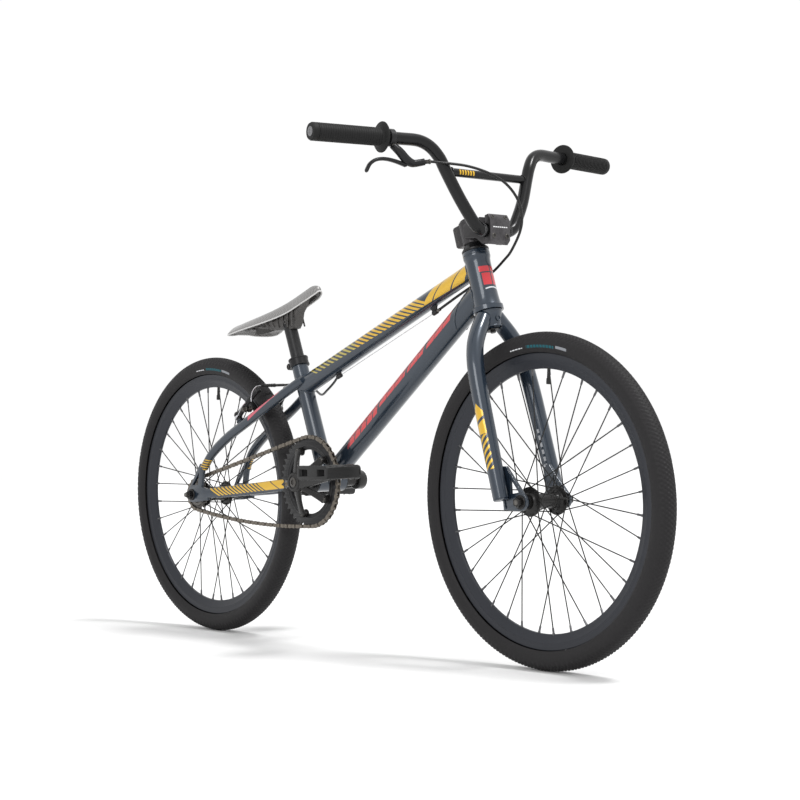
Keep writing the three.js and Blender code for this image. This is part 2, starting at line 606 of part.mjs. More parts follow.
function chainringPlate() {
  const inner = BOLT_CIRCLE - 3;
  const from = RING_OUTER_FACE;
  const to = RING_OUTER_FACE + RING_THICKNESS;
  const ring = turned([[inner, 0], [RING_ROOT, 0], [RING_ROOT, RING_THICKNESS], [inner, RING_THICKNESS],
    [inner, 0]], atSide(bracket, from), atSide(bracket, to), 36);
  const tabs = boltPoints().map((p) => rod(atSide(p, from), atSide(p, to), 8.5, 8.5, { facets: 12 }));
  return join(ring, ...tabs);
}

// Five dished arms lead from the crank's boss inward to the chainring.
function spider() {
  const ringFace = RING_OUTER_FACE - GAP;
  return boltPoints().map((bolt) => {
    const root = lerp(atSide(bracket, 0), bolt, 0.2).setY(-ARM_INNER + 1);
    const end = atSide(bolt, ringFace - 5);
    const arm = rod(root, end, 7.5, 5, { facets: 6, wide: 0.8 });
    const pad = rod(atSide(bolt, ringFace), atSide(bolt, ringFace - 8), 8, 7, { facets: 8 });
    return join(arm, pad);
  });
}

function addCrankset() {
  const crankset = new THREE.Group();
  bike.add(crankset);
  const spindleEnd = -ARM_INNER + 7;
  const spindle = rod(atSide(bracket, spindleEnd), atSide(bracket, ARM_INNER - 2), SPINDLE_RADIUS,
    SPINDLE_RADIUS, { facets: 20 });
  addMesh(crankset, 'crank_left', join(crankArm(LEFT), spindle), black);
  const spindleSpace = rod(atSide(bracket, -20), atSide(bracket, spindleEnd - GAP), SPINDLE_RADIUS + GAP,
    SPINDLE_RADIUS + GAP, { facets: 20 });
  const ringSpace = rod(atSide(bracket, RING_OUTER_FACE - GAP), atSide(bracket, 0), 100, 100,
    { facets: 12 });
  const rightArm = cut(join(crankArm(RIGHT), ...spider()), spindleSpace, ringSpace);
  addMesh(crankset, 'crank_right', rightArm, black);
  addMesh(crankset, 'chainring', chainringPlate(), black);
  SIDES.forEach((side) => addPedal(crankset, side));
}

const PEDAL = { length: 94, thickness: 27, inner: 96.5, outer: 177, corner: 9 };
const PEDAL_AXLE = { inner: 6, outer: 5 };

function addPedal(parent, side) {
  const tip = crankTip(side, 0);
  const axleFrom = atSide(tip, side * (ARM_TIP_INNER + ARM_THICKNESS + 0.5 + GAP));
  const axle = rod(axleFrom, atSide(tip, side * (PEDAL.outer - 6)), PEDAL_AXLE.inner, PEDAL_AXLE.outer,
    { facets: 12 });
  addMesh(parent, `pedal_axle_${SIDE_NAME[side]}`, axle, darkSteel);

  const l = PEDAL.length / 2;
  const h = PEDAL.thickness / 2;
  const c = PEDAL.corner;
  const outline = [[-l, -h + c], [-l + c, -h], [l - c, -h], [l, -h + c],
    [l, h - c], [l - c, h], [-l + c, h], [-l, h - c]];
  const placed = outline.map(([x, z]) => [tip.x + x, tip.z + z]);
  const windows = [-1, 1].map((end) => [[16, -8], [l - 10, -8], [l - 10, 8], [16, 8]]
    .map(([x, z]) => [tip.x + end * x, tip.z + z]));
  const [low, high] = side === RIGHT ? [-PEDAL.outer, -PEDAL.inner] : [PEDAL.inner, PEDAL.outer];
  const body = plate(placed, low, high);
  const boreRadius = PEDAL_AXLE.inner + GAP;
  const bore = rod(atSide(tip, side * (PEDAL.inner - 2)), atSide(tip, side * (PEDAL.outer - 5)),
    boreRadius, boreRadius, { facets: 12 });
  const cage = windows.map((hole) => {
    const width = (PEDAL.outer - PEDAL.inner) / 2 - 9;
    return [-1, 1].map((row) => {
      const middle = side * (PEDAL.inner + PEDAL.outer) / 2 + row * (width / 2 + 3.5);
      const xs = hole.map(([x]) => x);
      const box = new THREE.BoxGeometry(Math.max(...xs) - Math.min(...xs), width, PEDAL.thickness + 4);
      box.translate((Math.max(...xs) + Math.min(...xs)) / 2, middle, tip.z);
      return toSolid(box);
    });
  }).flat();
  addMesh(parent, `pedal_${SIDE_NAME[side]}`, cut(body, bore, ...cage), blackPlastic);
}

// --------------------------------------------------------- fork, stem, bars and grips

// The fork legs leave the crown, bow outward and run straight down outside the fork ends.
// Each point is [distance along the steering axis below the head tube, distance sideways].
const LEG_BEND = [[-6, 12], [-22, 24], [-42, 39], [-66, 52], [-100, 61], [-150, 65]];
const LEG_BOTTOM = [-345, 70];
const LEG_RADIUS = { top: 15.5, bottom: 14 };
const FORK_END_IN = FRONT_SPACING / 2;
const FORK_END_OUT = FORK_END_IN + END_THICKNESS;
const STEM_TOP = headLength + 62;
const STEM_HALF_WIDTH = 24.5;
const BAR_CLAMP_BORE = BAR_RADIUS + 0.6;

function forkLeg(side) {
  const path = LEG_BEND.map(([along, y]) => steering(along, side * y));
  const bend = bent(path, LEG_RADIUS.top, { facets: 10, steps: 8 });
  const [kneeAlong, kneeY] = LEG_BEND[LEG_BEND.length - 1];
  const [endAlong, endY] = LEG_BOTTOM;
  const straight = rod(steering(kneeAlong + 2, side * kneeY), steering(endAlong, side * endY),
    LEG_RADIUS.top, LEG_RADIUS.bottom, { facets: 10 });
  return join(bend, straight);
}

function forkEnd(side) {
  const { x, z } = frontAxle;
  const outline = [[x - 42, z - 14], [x - 28, z - 15], ...arc(x, z, 15, -100, 50, 6), [x - 34, z + 62],
    [x - 49, z + 62]];
  const window = [[x - 24, z + 14], [x - 4, z + 17], [x - 25, z + 42]];
  const slot = [[x - 3, z - AXLE_SLOT], ...arc(x, z, AXLE_SLOT, -60, 240, 8)];
  const [low, high] = side === RIGHT ? [-FORK_END_OUT, -FORK_END_IN] : [FORK_END_IN, FORK_END_OUT];
  return plate(outline, low, high, [window, slot]);
}

function addFork(parent) {
  const steerer = rod(steering(-4), steering(STEM_TOP - 6), STEERER_RADIUS, STEERER_RADIUS, { facets: 24 });
  const crownProfile = [[0, -34], [17, -34], [21, -18], [25, -1], [14, -1], [14, 1], [0, 1]];
  const crown = turned(crownProfile.map(([r, s]) => [r, s + 34]), steering(-34), headTop, 20);
  addMesh(parent, 'fork_crown', join(steerer, crown), paint);
  SIDES.forEach((side) => {
    const crownSpace = turned([[0, 0], [17.3, -GAP], [21.3, 16], [25.3, 34.4], [0, 34.4], [0, 0]],
      steering(-34 - GAP), headTop, 20);
    const above = rod(steering(-1), steering(30), 60, 60, { facets: 12 });
    const other = new THREE.BoxGeometry(200, 60, 200);
    other.translate(headBottom.x, -side * (30 - GAP), headBottom.z - 20);
    const leg = cut(join(forkLeg(side), forkEnd(side)), crownSpace, above, toSolid(other));
    addMesh(parent, `fork_leg_${SIDE_NAME[side]}`, leg, paint);
  });
}

function addStem(parent) {
  const coverProfile = [[25, 0], [25, 4], [18, 14], [14.8, 14], [14.8, 0], [25, 0]];
  const cover = turned(coverProfile, steering(headLength + 0.6), steering(STEM_TOP), 16);
  addMesh(parent, 'headset_cover', cover, black);

  const clampFrom = steering(headLength + 15);
  const clampTo = steering(STEM_TOP - 4);
  const clampLength = clampFrom.distanceTo(clampTo);
  const collar = sleeve([[20, 0], [20, clampLength]], STEERER_BORE, clampLength, clampFrom, clampTo, 24);
  const rearBlock = new THREE.BoxGeometry(20, 30, 40);
  rearBlock.rotateY(-(Math.PI / 2 - HEAD_ANGLE));
  const middle = steering(headLength + 36);
  const blockAt = middle.clone().add(point(-20, 0, -5));
  rearBlock.translate(blockAt.x, 0, blockAt.z);
  const steererSpace = rod(steering(0), steering(STEM_TOP + 40), STEERER_BORE, STEERER_BORE, { facets: 24 });
  const { x, z } = BAR_CENTRE;
  const split = x - 1;
  const reach = [[middle.x + 4, z - 11], [x - 24, z - 13], [x - 8, z - 25], [split, z - 23],
    [split, z + 23], [x - 14, z + 25], [middle.x + 4, z + 15]];
  const body = plate(reach, -STEM_HALF_WIDTH, STEM_HALF_WIDTH);
  const barSpace = rod(atSide(BAR_CENTRE, -40), atSide(BAR_CENTRE, 40), BAR_CLAMP_BORE, BAR_CLAMP_BORE,
    { facets: 20 });
  addMesh(parent, 'stem', cut(join(collar, toSolid(rearBlock), body), steererSpace, barSpace), black);

  const face = [[split + GAP, z - 23], [x + 8, z - 26], [x + 15, z - 18], [x + 15, z + 18],
    [x + 8, z + 29], [split + GAP, z + 27]];
  const facePlate = cut(plate(face, -STEM_HALF_WIDTH, STEM_HALF_WIDTH), barSpace);
  addMesh(parent, 'stem_face_plate', facePlate, black);
  const cap = turned([[0, 0], [17, 0], [17, 3], [14, 4.5], [0, 4.5]],
    steering(STEM_TOP - 3.5), steering(STEM_TOP + 40), 20);
  addMesh(parent, 'top_cap', cap, black);
}

// Points of the bar's left half as [distance sideways, forward, height].
const BAR_POINTS = [[0, 391, 777], [22, 391, 777], [34, 391, 777.6], [46, 391, 784], [56, 389, 797],
  [79, 383, 834], [100, 374, 878], [111, 370, 901], [127, 364, 920], [150, 359, 929.5],
  [185, 353, 930.5], [225, 347, 930.5]];
const CROSSBAR = { radius: 7.5, halfLength: 99, x: 374, z: 877.5 };
const GRIP_FLANGE = 27;
const GRIP_FROM = 222;
const GRIP_TO = 362;
const GRIP_BORE = BAR_RADIUS + 0.7;
const [straightFrom, straightX, barTop] = BAR_POINTS[BAR_POINTS.length - 1];
const barLineStart = point(straightX, straightFrom, barTop);
const barLineEnd = point(325, GRIP_TO, barTop);
const onGrip = (y, side) => {
  const t = (y - straightFrom) / (GRIP_TO - straightFrom);
  const p = lerp(barLineStart, barLineEnd, t);
  return point(p.x, side * p.y, p.z);
};

function addBars(parent) {
  const half = BAR_POINTS.map(([y, x, z]) => point(x, y, z));
  const whole = [onGrip(GRIP_TO - 4, RIGHT), onGrip(300, RIGHT), ...mirrored(half.slice(1).reverse(), RIGHT),
    ...half, onGrip(300, LEFT), onGrip(GRIP_TO - 4, LEFT)];
  const bar = bent(whole, BAR_RADIUS, { facets: 8, steps: 44 });
  const crossbarEnd = (side) => point(CROSSBAR.x, side * CROSSBAR.halfLength, CROSSBAR.z);
  const crossbar = rod(crossbarEnd(RIGHT), crossbarEnd(LEFT), CROSSBAR.radius, CROSSBAR.radius,
    { facets: 12 });
  addMesh(parent, 'handlebar', join(bar, crossbar), black);
  SIDES.forEach((side) => {
    const from = onGrip(GRIP_FROM, side);
    const to = onGrip(GRIP_TO, side);
    const length = from.distanceTo(to);
    const profile = [[GRIP_BORE, 0], [GRIP_FLANGE, 0], [GRIP_FLANGE, 3.5], [GRIP_RADIUS, 6],
      [GRIP_RADIUS, length - 6], [GRIP_RADIUS - 1, length + 2], [0, length + 2], [0, length - 2],
      [GRIP_BORE, length - 2], [GRIP_BORE, 0]];
    addMesh(parent, `grip_${SIDE_NAME[side]}`, turned(profile, from, to, 14), blackRubber);
  });
}

// ------------------------------------------------------------------------- rear brake

const LEVER_PIVOT = point(358, -180, 884);
const LEVER_CLAMP = { y: 207, radius: 15.5, halfWidth: 5.5 };

function addLever(parent) {
  const clampCentre = onGrip(LEVER_CLAMP.y, RIGHT);
  const half = onGrip(LEVER_CLAMP.y + LEVER_CLAMP.halfWidth, RIGHT).sub(clampCentre);
  const clampFrom = clampCentre.clone().sub(half);
  const clampTo = clampCentre.clone().add(half);
  const clampLength = clampFrom.distanceTo(clampTo);
  const outer = [[LEVER_CLAMP.radius, 0], [LEVER_CLAMP.radius, clampLength]];
  const collar = sleeve(outer, BAR_CLAMP_BORE, clampLength, clampFrom, clampTo, 20);
  const knee = point(362, -164, 887);
  const neck = rod(clampCentre.clone().add(point(2, 2, -15)), knee, 6, 6, { facets: 8 });
  const body = rod(point(361, -166, 885), point(374, -147, 891), 8.5, 5, { facets: 8 });
  const barSpace = rod(onGrip(180, RIGHT), onGrip(240, RIGHT), BAR_CLAMP_BORE, BAR_CLAMP_BORE,
    { facets: 20 });
  addMesh(parent, 'lever_bracket', cut(join(collar, neck, body), barSpace), black);

  const lever = new THREE.Group();
  parent.add(lever);
  const path = [LEVER_PIVOT.clone().add(point(0, 2, -0.6)), point(357, -205, 889), point(356.5, -232, 891),
    point(354, -252, 885), point(351, -262, 872), point(350, -264, 865)];
  const blade = bent(path, 4, { facets: 8, steps: 14, wide: 1.4 });
  addMesh(lever, 'brake_lever', blade, black);
}

const CABLE_RADIUS = 2.5;
const WIRE_RADIUS = 0.8;
const housingPath = [
  point(374.4, -145, 891.6), point(382, -120, 890.5), point(400, -71, 886), point(417.5, -30, 872.5),
  point(430.5, -4, 853.5), point(438, 14, 827), point(436.5, 24, 799), point(425.5, 29, 773),
  point(400, 32, 742.5), point(381.5, 32.5, 728), point(348.5, 31.5, 706.5), point(313, 22, 688),
  point(275, 9, 666),
  frontStop.clone().addScaledVector(wireLine, STOP_LENGTH / 2 + 1.2),
];

function addCables() {
  addMesh(bike, 'brake_housing_front', bent(housingPath, CABLE_RADIUS, { facets: 8, steps: 36 }), black);
  const wireFrom = rearStop.clone().addScaledVector(wireLine, STOP_LENGTH / 2 + GAP);
  const wireTo = frontStop.clone().addScaledVector(wireLine, -STOP_LENGTH / 2 - GAP);
  addMesh(bike, 'brake_wire', rod(wireFrom, wireTo, WIRE_RADIUS, WIRE_RADIUS, { facets: 8 }), silver);
  const rearPath = [
    rearStop.clone().addScaledVector(wireLine, -STOP_LENGTH / 2 - 1.2), point(-95, 12, 521),
    point(-135, 27, 508), point(-176, 44, 500), point(-225, 62, 514), point(-262, 66, 521),
    point(-285, 58, 524), point(-287, 44, 524), point(-286, 30, 523), point(-285, 0, 522),
    point(-284, -27, 522),
  ];
  addMesh(bike, 'brake_housing_rear', bent(rearPath, CABLE_RADIUS, { facets: 8, steps: 30 }), black);
}

const ARM = { length: 82, topY: 36, hub: 7, padAlong: 33 };
const PAD = { wheelRadius: 252.3, y: 16.3, radius: 4.2, halfLength: 20 };

function addBrakeArm(side) {
  const group = new THREE.Group();
  bike.add(group);
  const pivot = brakePivot(side);
  const hub = rod(onPost(side, -6), onPost(side, 12), ARM.hub, ARM.hub, { facets: 12 });
  const top = pivot.clone().addScaledVector(alongArm, ARM.length).setY(side * ARM.topY);
  const arm = rod(onPost(side, 5), top.addScaledVector(brakePost, 5), 6.5, 5, { facets: 8 });
  const outward = pivot.clone().addScaledVector(alongArm, ARM.padAlong).sub(rearAxle).setY(0).normalize();
  const padAt = rearAxle.clone().addScaledVector(outward, PAD.wheelRadius);
  const tangent = point(-outward.z, 0, outward.x).multiplyScalar(PAD.halfLength);
  const bolt = rod(atSide(padAt, side * 19), atSide(padAt, side * 54), 4, 4, { facets: 8 });
  const padCentre = atSide(padAt, side * PAD.y);
  const pad = rod(padCentre.clone().sub(tangent), padCentre.clone().add(tangent), PAD.radius, PAD.radius,
    { facets: 8 });
  addMesh(group, `brake_arm_${SIDE_NAME[side]}`, join(hub, arm, bolt, pad), black);
}

// --------------------------------------------------------------------------- assembly

addFrameTubes();
SIDES.forEach(addStays);
addBearings();
addSeatClamp();
addSeat();
addWheel('rear', rearAxle, 28, REAR_SPACING, 15);
addWheel('front', frontAxle, 33, FRONT_SPACING, 13);
addAxle('rear', rearAxle, 78, REAR_SPACING);
addAxle('front', frontAxle, 68, FRONT_SPACING);
addDrivetrain();
addCrankset();
const steeringParts = new THREE.Group();
bike.add(steeringParts);
addFork(steeringParts);
addStem(steeringParts);
addBars(steeringParts);
addLever(steeringParts);
addCables();
SIDES.forEach(addBrakeArm);

export default bike;
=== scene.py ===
import math

import bmesh
import bpy
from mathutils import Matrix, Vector


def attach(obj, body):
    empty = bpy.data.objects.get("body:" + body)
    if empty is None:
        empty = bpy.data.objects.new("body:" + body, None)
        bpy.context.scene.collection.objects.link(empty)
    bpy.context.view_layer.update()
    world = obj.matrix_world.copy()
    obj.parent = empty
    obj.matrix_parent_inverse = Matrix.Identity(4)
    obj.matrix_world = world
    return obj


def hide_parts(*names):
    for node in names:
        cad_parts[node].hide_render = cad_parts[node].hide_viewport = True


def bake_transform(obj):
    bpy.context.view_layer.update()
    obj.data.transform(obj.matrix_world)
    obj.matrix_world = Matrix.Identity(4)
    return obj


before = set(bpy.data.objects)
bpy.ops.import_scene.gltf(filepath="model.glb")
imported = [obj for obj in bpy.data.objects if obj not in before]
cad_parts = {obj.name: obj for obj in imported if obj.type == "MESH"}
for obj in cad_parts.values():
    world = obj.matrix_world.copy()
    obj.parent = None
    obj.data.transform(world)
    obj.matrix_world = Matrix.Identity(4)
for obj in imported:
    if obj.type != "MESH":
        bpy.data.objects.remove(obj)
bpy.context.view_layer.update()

# A BMX race bike. Shapes are drawn in millimetres in the row frame and scaled to metres.
# X is forward, Y to the rider's left, Z up.

MM = 0.001
RIGHT, LEFT = -1, 1
SIDES = ((RIGHT, "right"), (LEFT, "left"))

WHEEL_RADIUS = 295.0
TYRE_SECTION = 21.0
RIM_OUTER = 259.5
RIM_INNER = 230.0
SPOKES_PER_SIDE = 18
SPOKE_HOLES = 22.0
CHAIN_PITCH = 12.7
CHAIN_LINKS = 94
RING_TEETH = 44
COG_TEETH = 16
CHAIN_LINE = 45.0
CRANK_LENGTH = 178.0
CRANK_ANGLE = math.radians(7)
BOLT_CIRCLE = 65.0
BAR_RADIUS = 11.1
Y_AXIS = Vector((0, 1, 0))


def V(x, y, z):
    return Vector((x, y, z))


def line(start, direction):
    """A function giving the point at a distance along a line, moved to a given Y."""
    def at(along, y=0.0):
        p = start + direction * along
        return V(p.x, p.y + y, p.z)
    return at


REAR_AXLE = V(-499, 0, WHEEL_RADIUS)
FRONT_AXLE = V(499, 0, WHEEL_RADIUS)
BRACKET = V(-104.581, 0, 325.5)
UP_STEERING = V(-0.27228, 0, 0.96222)
UP_SEAT = V(-0.34202, 0, 0.93969)
steering = line(V(371.245, 0, 632.6), UP_STEERING)
seat_line = line(BRACKET, UP_SEAT)
HEAD_LENGTH = 114.74
STEM_TOP = HEAD_LENGTH + 62

# ------------------------------------------------------------------ mesh building


def transport(path, closed, first_side):
    """Tangents and side vectors along a path, turned as little as possible."""
    count = len(path)
    tangents = []
    for i in range(count):
        a = path[(i - 1) % count] if closed or i > 0 else path[0]
        b = path[(i + 1) % count] if closed or i < count - 1 else path[-1]
        tangents.append((b - a).normalized())
    side = first_side - tangents[0] * first_side.dot(tangents[0])
    if side.length < 0.2:
        side = V(1, 0, 0) - tangents[0] * tangents[0].x
    sides = []
    for t in tangents:
        side = (side - t * side.dot(t)).normalized()
        sides.append(side.copy())
    return tangents, sides


def sweep(path, radius, segments=24, closed=False, first_side=Y_AXIS, power=2.0):
    """A closed skin round a path. Radius is a number, or a number or (side, other) for each point.
    A power above 2 squares the section's corners off."""
    tangents, sides = transport(path, closed, first_side)
    verts, faces = [], []
    for i, p in enumerate(path):
        r = radius[i] if isinstance(radius, (list, tuple)) and len(radius) == len(path) else radius
        ru, rv = r if isinstance(r, (list, tuple)) else (r, r)
        up = tangents[i].cross(sides[i])
        for k in range(segments):
            turn = 2 * math.pi * k / segments
            c, s = math.cos(turn), math.sin(turn)
            u = math.copysign(abs(c) ** (2 / power), c) * ru
            v = math.copysign(abs(s) ** (2 / power), s) * rv
            verts.append(p + sides[i] * u + up * v)
    rows = len(path)
    for i in range(rows if closed else rows - 1):
        for k in range(segments):
            a, b = i * segments, ((i + 1) % rows) * segments
            n = (k + 1) % segments
            faces.append((a + k, a + n, b + n, b + k))
    if not closed:
        faces.append(tuple(range(segments))[::-1])
        faces.append(tuple(range((rows - 1) * segments, rows * segments)))
    return verts, faces


def smooth(points, count):
    """Catmull-Rom curve through the points, evenly spaced."""
    dense = []
    last = len(points) - 1
    for i in range(last):
        p0, p1 = points[max(i - 1, 0)], points[i]
        p2, p3 = points[i + 1], points[min(i + 2, last)]
        for k in range(24):
            t = k / 24
            dense.append(0.5 * ((2 * p1) + (p2 - p0) * t + (2 * p0 - 5 * p1 + 4 * p2 - p3) * t * t
                                + (3 * p1 - p0 - 3 * p2 + p3) * t ** 3))
    dense.append(points[-1])
    lengths = [0.0]
    for a, b in zip(dense, dense[1:]):
        lengths.append(lengths[-1] + (b - a).length)
    out, j = [], 0
    for k in range(count):
        target = lengths[-1] * k / (count - 1)
        while j < len(dense) - 2 and lengths[j + 1] < target:
            j += 1
        span = max(lengths[j + 1] - lengths[j], 1e-9)
        out.append(dense[j].lerp(dense[j + 1], (target - lengths[j]) / span))
    return out


def turned(profile, start, end, segments=32, across=Y_AXIS):
    """A turned piece from [radius, distance] or [radius, distance, 'hex'] points.

    It closes on itself or on the axis.
    """
    along = (end - start).normalized()
    side = across - along * across.dot(along)
    if side.length < 0.2:
        side = V(0, 0, 1) - along * along.z
    side.normalize()
    up = along.cross(side)
    verts, faces = [], []
    ring_of = []
    for entry in profile:
        r, s = entry[0], entry[1]
        if r < 1e-6:
            ring_of.append([len(verts)] * segments)
            verts.append(start + along * s)
            continue
        ring = []
        for k in range(segments):
            turn = 2 * math.pi * k / segments
            factor = 1.0
            if len(entry) > 2:
                sixth = math.pi / 3
                factor = math.cos(sixth / 2) / math.cos((turn % sixth) - sixth / 2)
            ring.append(len(verts))
            verts.append(start + along * s + (side * math.cos(turn) + up * math.sin(turn)) * r * factor)
        ring_of.append(ring)
    on_axis = profile[0][0] < 1e-6 and profile[-1][0] < 1e-6
    rows = len(profile)
    for i in range(rows - 1 if on_axis else rows):
        a, b = ring_of[i], ring_of[(i + 1) % rows]
        for k in range(segments):
            n = (k + 1) % segments
            face = []
            for index in (a[k], a[n], b[n], b[k]):
                if index not in face:
                    face.append(index)
            if len(face) > 2:
                faces.append(tuple(face))
    return verts, faces


def rod(a, b, r0, r1=None, segments=20):
    r1 = r0 if r1 is None else r1
    bevel = min(0.8, r0 * 0.2, r1 * 0.2)
    length = (b - a).length
    return turned([[0, 0], [r0 - bevel, 0], [r0, bevel], [r1, length - bevel], [r1 - bevel, length],
                   [0, length]],
                  a, b, segments)


def arc(x, z, radius, start, end, count):
    turns = [math.radians(start + (end - start) * i / count) for i in range(count + 1)]
    return [(x + radius * math.cos(turn), z + radius * math.sin(turn)) for turn in turns]


def flat(outline, y_low, y_high, holes=(), bevel=0.8, place=None):
    """A flat plate drawn in XZ between two values of Y, with softened edges. `place` moves each vertex."""
    curve = bpy.data.curves.new("flat", "CURVE")
    curve.dimensions = "2D"
    curve.fill_mode = "BOTH"
    curve.extrude = (y_high - y_low) / 2 - bevel
    curve.bevel_depth = bevel
    curve.bevel_resolution = 1
    curve.offset = -bevel
    for loop in [outline, *holes]:
        spline = curve.splines.new("POLY")
        spline.points.add(len(loop) - 1)
        for point, (x, z) in zip(spline.points, loop):
            point.co = (x, z, 0, 1)
        spline.use_cyclic_u = True
    holder = bpy.data.objects.new("flat", curve)
    bpy.context.scene.collection.objects.link(holder)
    mesh = holder.to_mesh()
    middle = (y_low + y_high) / 2
    verts = [V(v.co.x, middle - v.co.z, v.co.y) for v in mesh.vertices]
    faces = [tuple(p.vertices) for p in mesh.polygons]
    holder.to_mesh_clear()
    bpy.data.objects.remove(holder)
    bpy.data.curves.remove(curve)
    if place:
        verts = [place(v) for v in verts]
    return verts, faces


def mirrored(shape, side):
    """The shape as drawn for the left, or its mirror image for the right."""
    verts, faces = shape
    if side == LEFT:
        return shape
    return [V(v.x, -v.y, v.z) for v in verts], [tuple(reversed(f)) for f in faces]


def piece(name, shapes, body, look, stands_for=(), angle=38):
    """One object from several shapes, shaded smooth with its sharp edges kept."""
    if isinstance(shapes, tuple):
        shapes = [shapes]
    verts, faces = [], []
    for shape_verts, shape_faces in shapes:
        offset = len(verts)
        verts.extend(shape_verts)
        faces.extend(tuple(i + offset for i in f) for f in shape_faces)
    mesh = bpy.data.meshes.new(name)
    mesh.from_pydata([v * MM for v in verts], [], faces)
    work = bmesh.new()
    work.from_mesh(mesh)
    bmesh.ops.remove_doubles(work, verts=work.verts, dist=1e-6)
    bmesh.ops.recalc_face_normals(work, faces=work.faces)
    limit = math.radians(angle)
    for edge in work.edges:
        edge.smooth = len(edge.link_faces) == 2 and edge.calc_face_angle(0.0) < limit
    for face in work.faces:
        face.smooth = True
    work.to_mesh(mesh)
    work.free()
    mesh.materials.append(look)
    item = bpy.data.objects.new(name, mesh)
    bpy.context.scene.collection.objects.link(item)
    if isinstance(body, str):
        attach(item, body)
    if stands_for:
        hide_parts(*stands_for)
    return item


# ---------------------------------------------------------------------- materials


class Field:
    """A number that varies over the surface, built from Math nodes."""

    def __init__(self, tree, socket):
        self.tree = tree
        self.socket = socket

    def _math(self, operation, *others):
        node = self.tree.nodes.new("ShaderNodeMath")
        node.operation = operation
        self.tree.links.new(self.socket, node.inputs[0])
        for i, other in enumerate(others, 1):
            if isinstance(other, Field):
                self.tree.links.new(other.socket, node.inputs[i])
            else:
                node.inputs[i].default_value = other
        return Field(self.tree, node.outputs[0])

    def __add__(self, other):
        return self._math("ADD", other)

    def __sub__(self, other):
        return self._math("SUBTRACT", other)

    def __mul__(self, other):
        return self._math("MULTIPLY", other)

    def __truediv__(self, other):
        return self._math("DIVIDE", other)

    def __mod__(self, other):
        return self._math("FLOORED_MODULO", other)

    def above(self, edge):
        return self._math("GREATER_THAN", edge)

    def below(self, edge):
        return self._math("LESS_THAN", edge)

    def between(self, low, high):
        return self.above(low) * self.below(high)

    def either(self, other):
        return self._math("MAXIMUM", other)

    def absolute(self):
        return self._math("ABSOLUTE")

    def sine(self):
        return self._math("SINE")

    def power(self, other):
        return self._math("POWER", other)


class Surface:
    """Object coordinates in millimetres and what is measured from them."""

    def __init__(self, tree):
        self.tree = tree
        coordinates = tree.nodes.new("ShaderNodeTexCoord")
        self.position = coordinates.outputs["Object"]

    def along(self, origin, direction):
        """Distance from a point along a direction, in millimetres."""
        shift = self.tree.nodes.new("ShaderNodeVectorMath")
        shift.operation = "SUBTRACT"
        shift.inputs[1].default_value = origin * MM
        self.tree.links.new(self.position, shift.inputs[0])
        dot = self.tree.nodes.new("ShaderNodeVectorMath")
        dot.operation = "DOT_PRODUCT"
        dot.inputs[1].default_value = direction / MM
        self.tree.links.new(shift.outputs[0], dot.inputs[0])
        return Field(self.tree, dot.outputs["Value"])

    def x(self):
        return self.along(V(0, 0, 0), V(1, 0, 0))

    def y(self):
        return self.along(V(0, 0, 0), V(0, 1, 0))

    def z(self):
        return self.along(V(0, 0, 0), V(0, 0, 1))

    def noise(self, scale, detail=3.0, roughness=0.55):
        node = self.tree.nodes.new("ShaderNodeTexNoise")
        node.inputs["Scale"].default_value = scale
        node.inputs["Detail"].default_value = detail
        node.inputs["Roughness"].default_value = roughness
        self.tree.links.new(self.position, node.inputs["Vector"])
        return Field(self.tree, node.outputs[0])


def mix(tree, factor, first, second):
    """Mixes two colours, each a tuple or a socket, by a field."""
    node = tree.nodes.new("ShaderNodeMix")
    node.data_type = "RGBA"
    tree.links.new(factor.socket, node.inputs[0])
    for slot, value in ((6, first), (7, second)):
        if isinstance(value, tuple):
            node.inputs[slot].default_value = (*value, 1)
        else:
            tree.links.new(value, node.inputs[slot])
    return node.outputs[2]


def material(name, colour, metallic=0.0, rough=0.4, coat=0.0, grain=500.0, vary=0.25, bump=0.0,
             bump_scale=900.0,
             wear=0.0, wear_colour=(0.4, 0.4, 0.4), layers=None, height=None, specular=0.5):
    """A surface with noise in its colour and roughness, a fine bump, worn edges and painted layers."""
    made = bpy.data.materials.new(name)
    made.use_nodes = True
    made.diffuse_color = (*colour, 1)
    tree = made.node_tree
    shader = tree.nodes["Principled BSDF"]
    shader.inputs["Metallic"].default_value = metallic
    shader.inputs["Coat Weight"].default_value = coat
    shader.inputs["Coat Roughness"].default_value = 0.06
    shader.inputs["Specular IOR Level"].default_value = specular
    surface = Surface(tree)
    dark = tuple(c * (1 - vary) for c in colour)
    light = tuple(min(1.0, c * (1 + vary)) for c in colour)
    base = mix(tree, surface.noise(grain), dark, light)
    if layers:
        for mask, layer_colour in layers(surface):
            base = mix(tree, mask, base, layer_colour)
    if wear > 0:
        geometry = tree.nodes.new("ShaderNodeNewGeometry")
        edge = Field(tree, geometry.outputs["Pointiness"])
        worn = (edge - 0.53) * 12.0 * surface.noise(220.0)
        ramp = worn._math("MINIMUM", 1.0)._math("MAXIMUM", 0.0) * wear
        base = mix(tree, ramp, base, wear_colour)
    tree.links.new(base, shader.inputs["Base Color"])
    roughness = surface.noise(grain * 0.4, 4.0) * (rough * 0.4) + rough * 0.8
    tree.links.new(roughness.socket, shader.inputs["Roughness"])
    relief = None
    if bump > 0:
        relief = surface.noise(bump_scale, 4.0) * bump
    if height:
        extra = height(surface)
        relief = extra if relief is None else relief + extra
    if relief is not None:
        node = tree.nodes.new("ShaderNodeBump")
        node.inputs["Distance"].default_value = 0.001
        tree.links.new(relief.socket, node.inputs["Height"])
        tree.links.new(node.outputs[0], shader.inputs["Normal"])
    return made


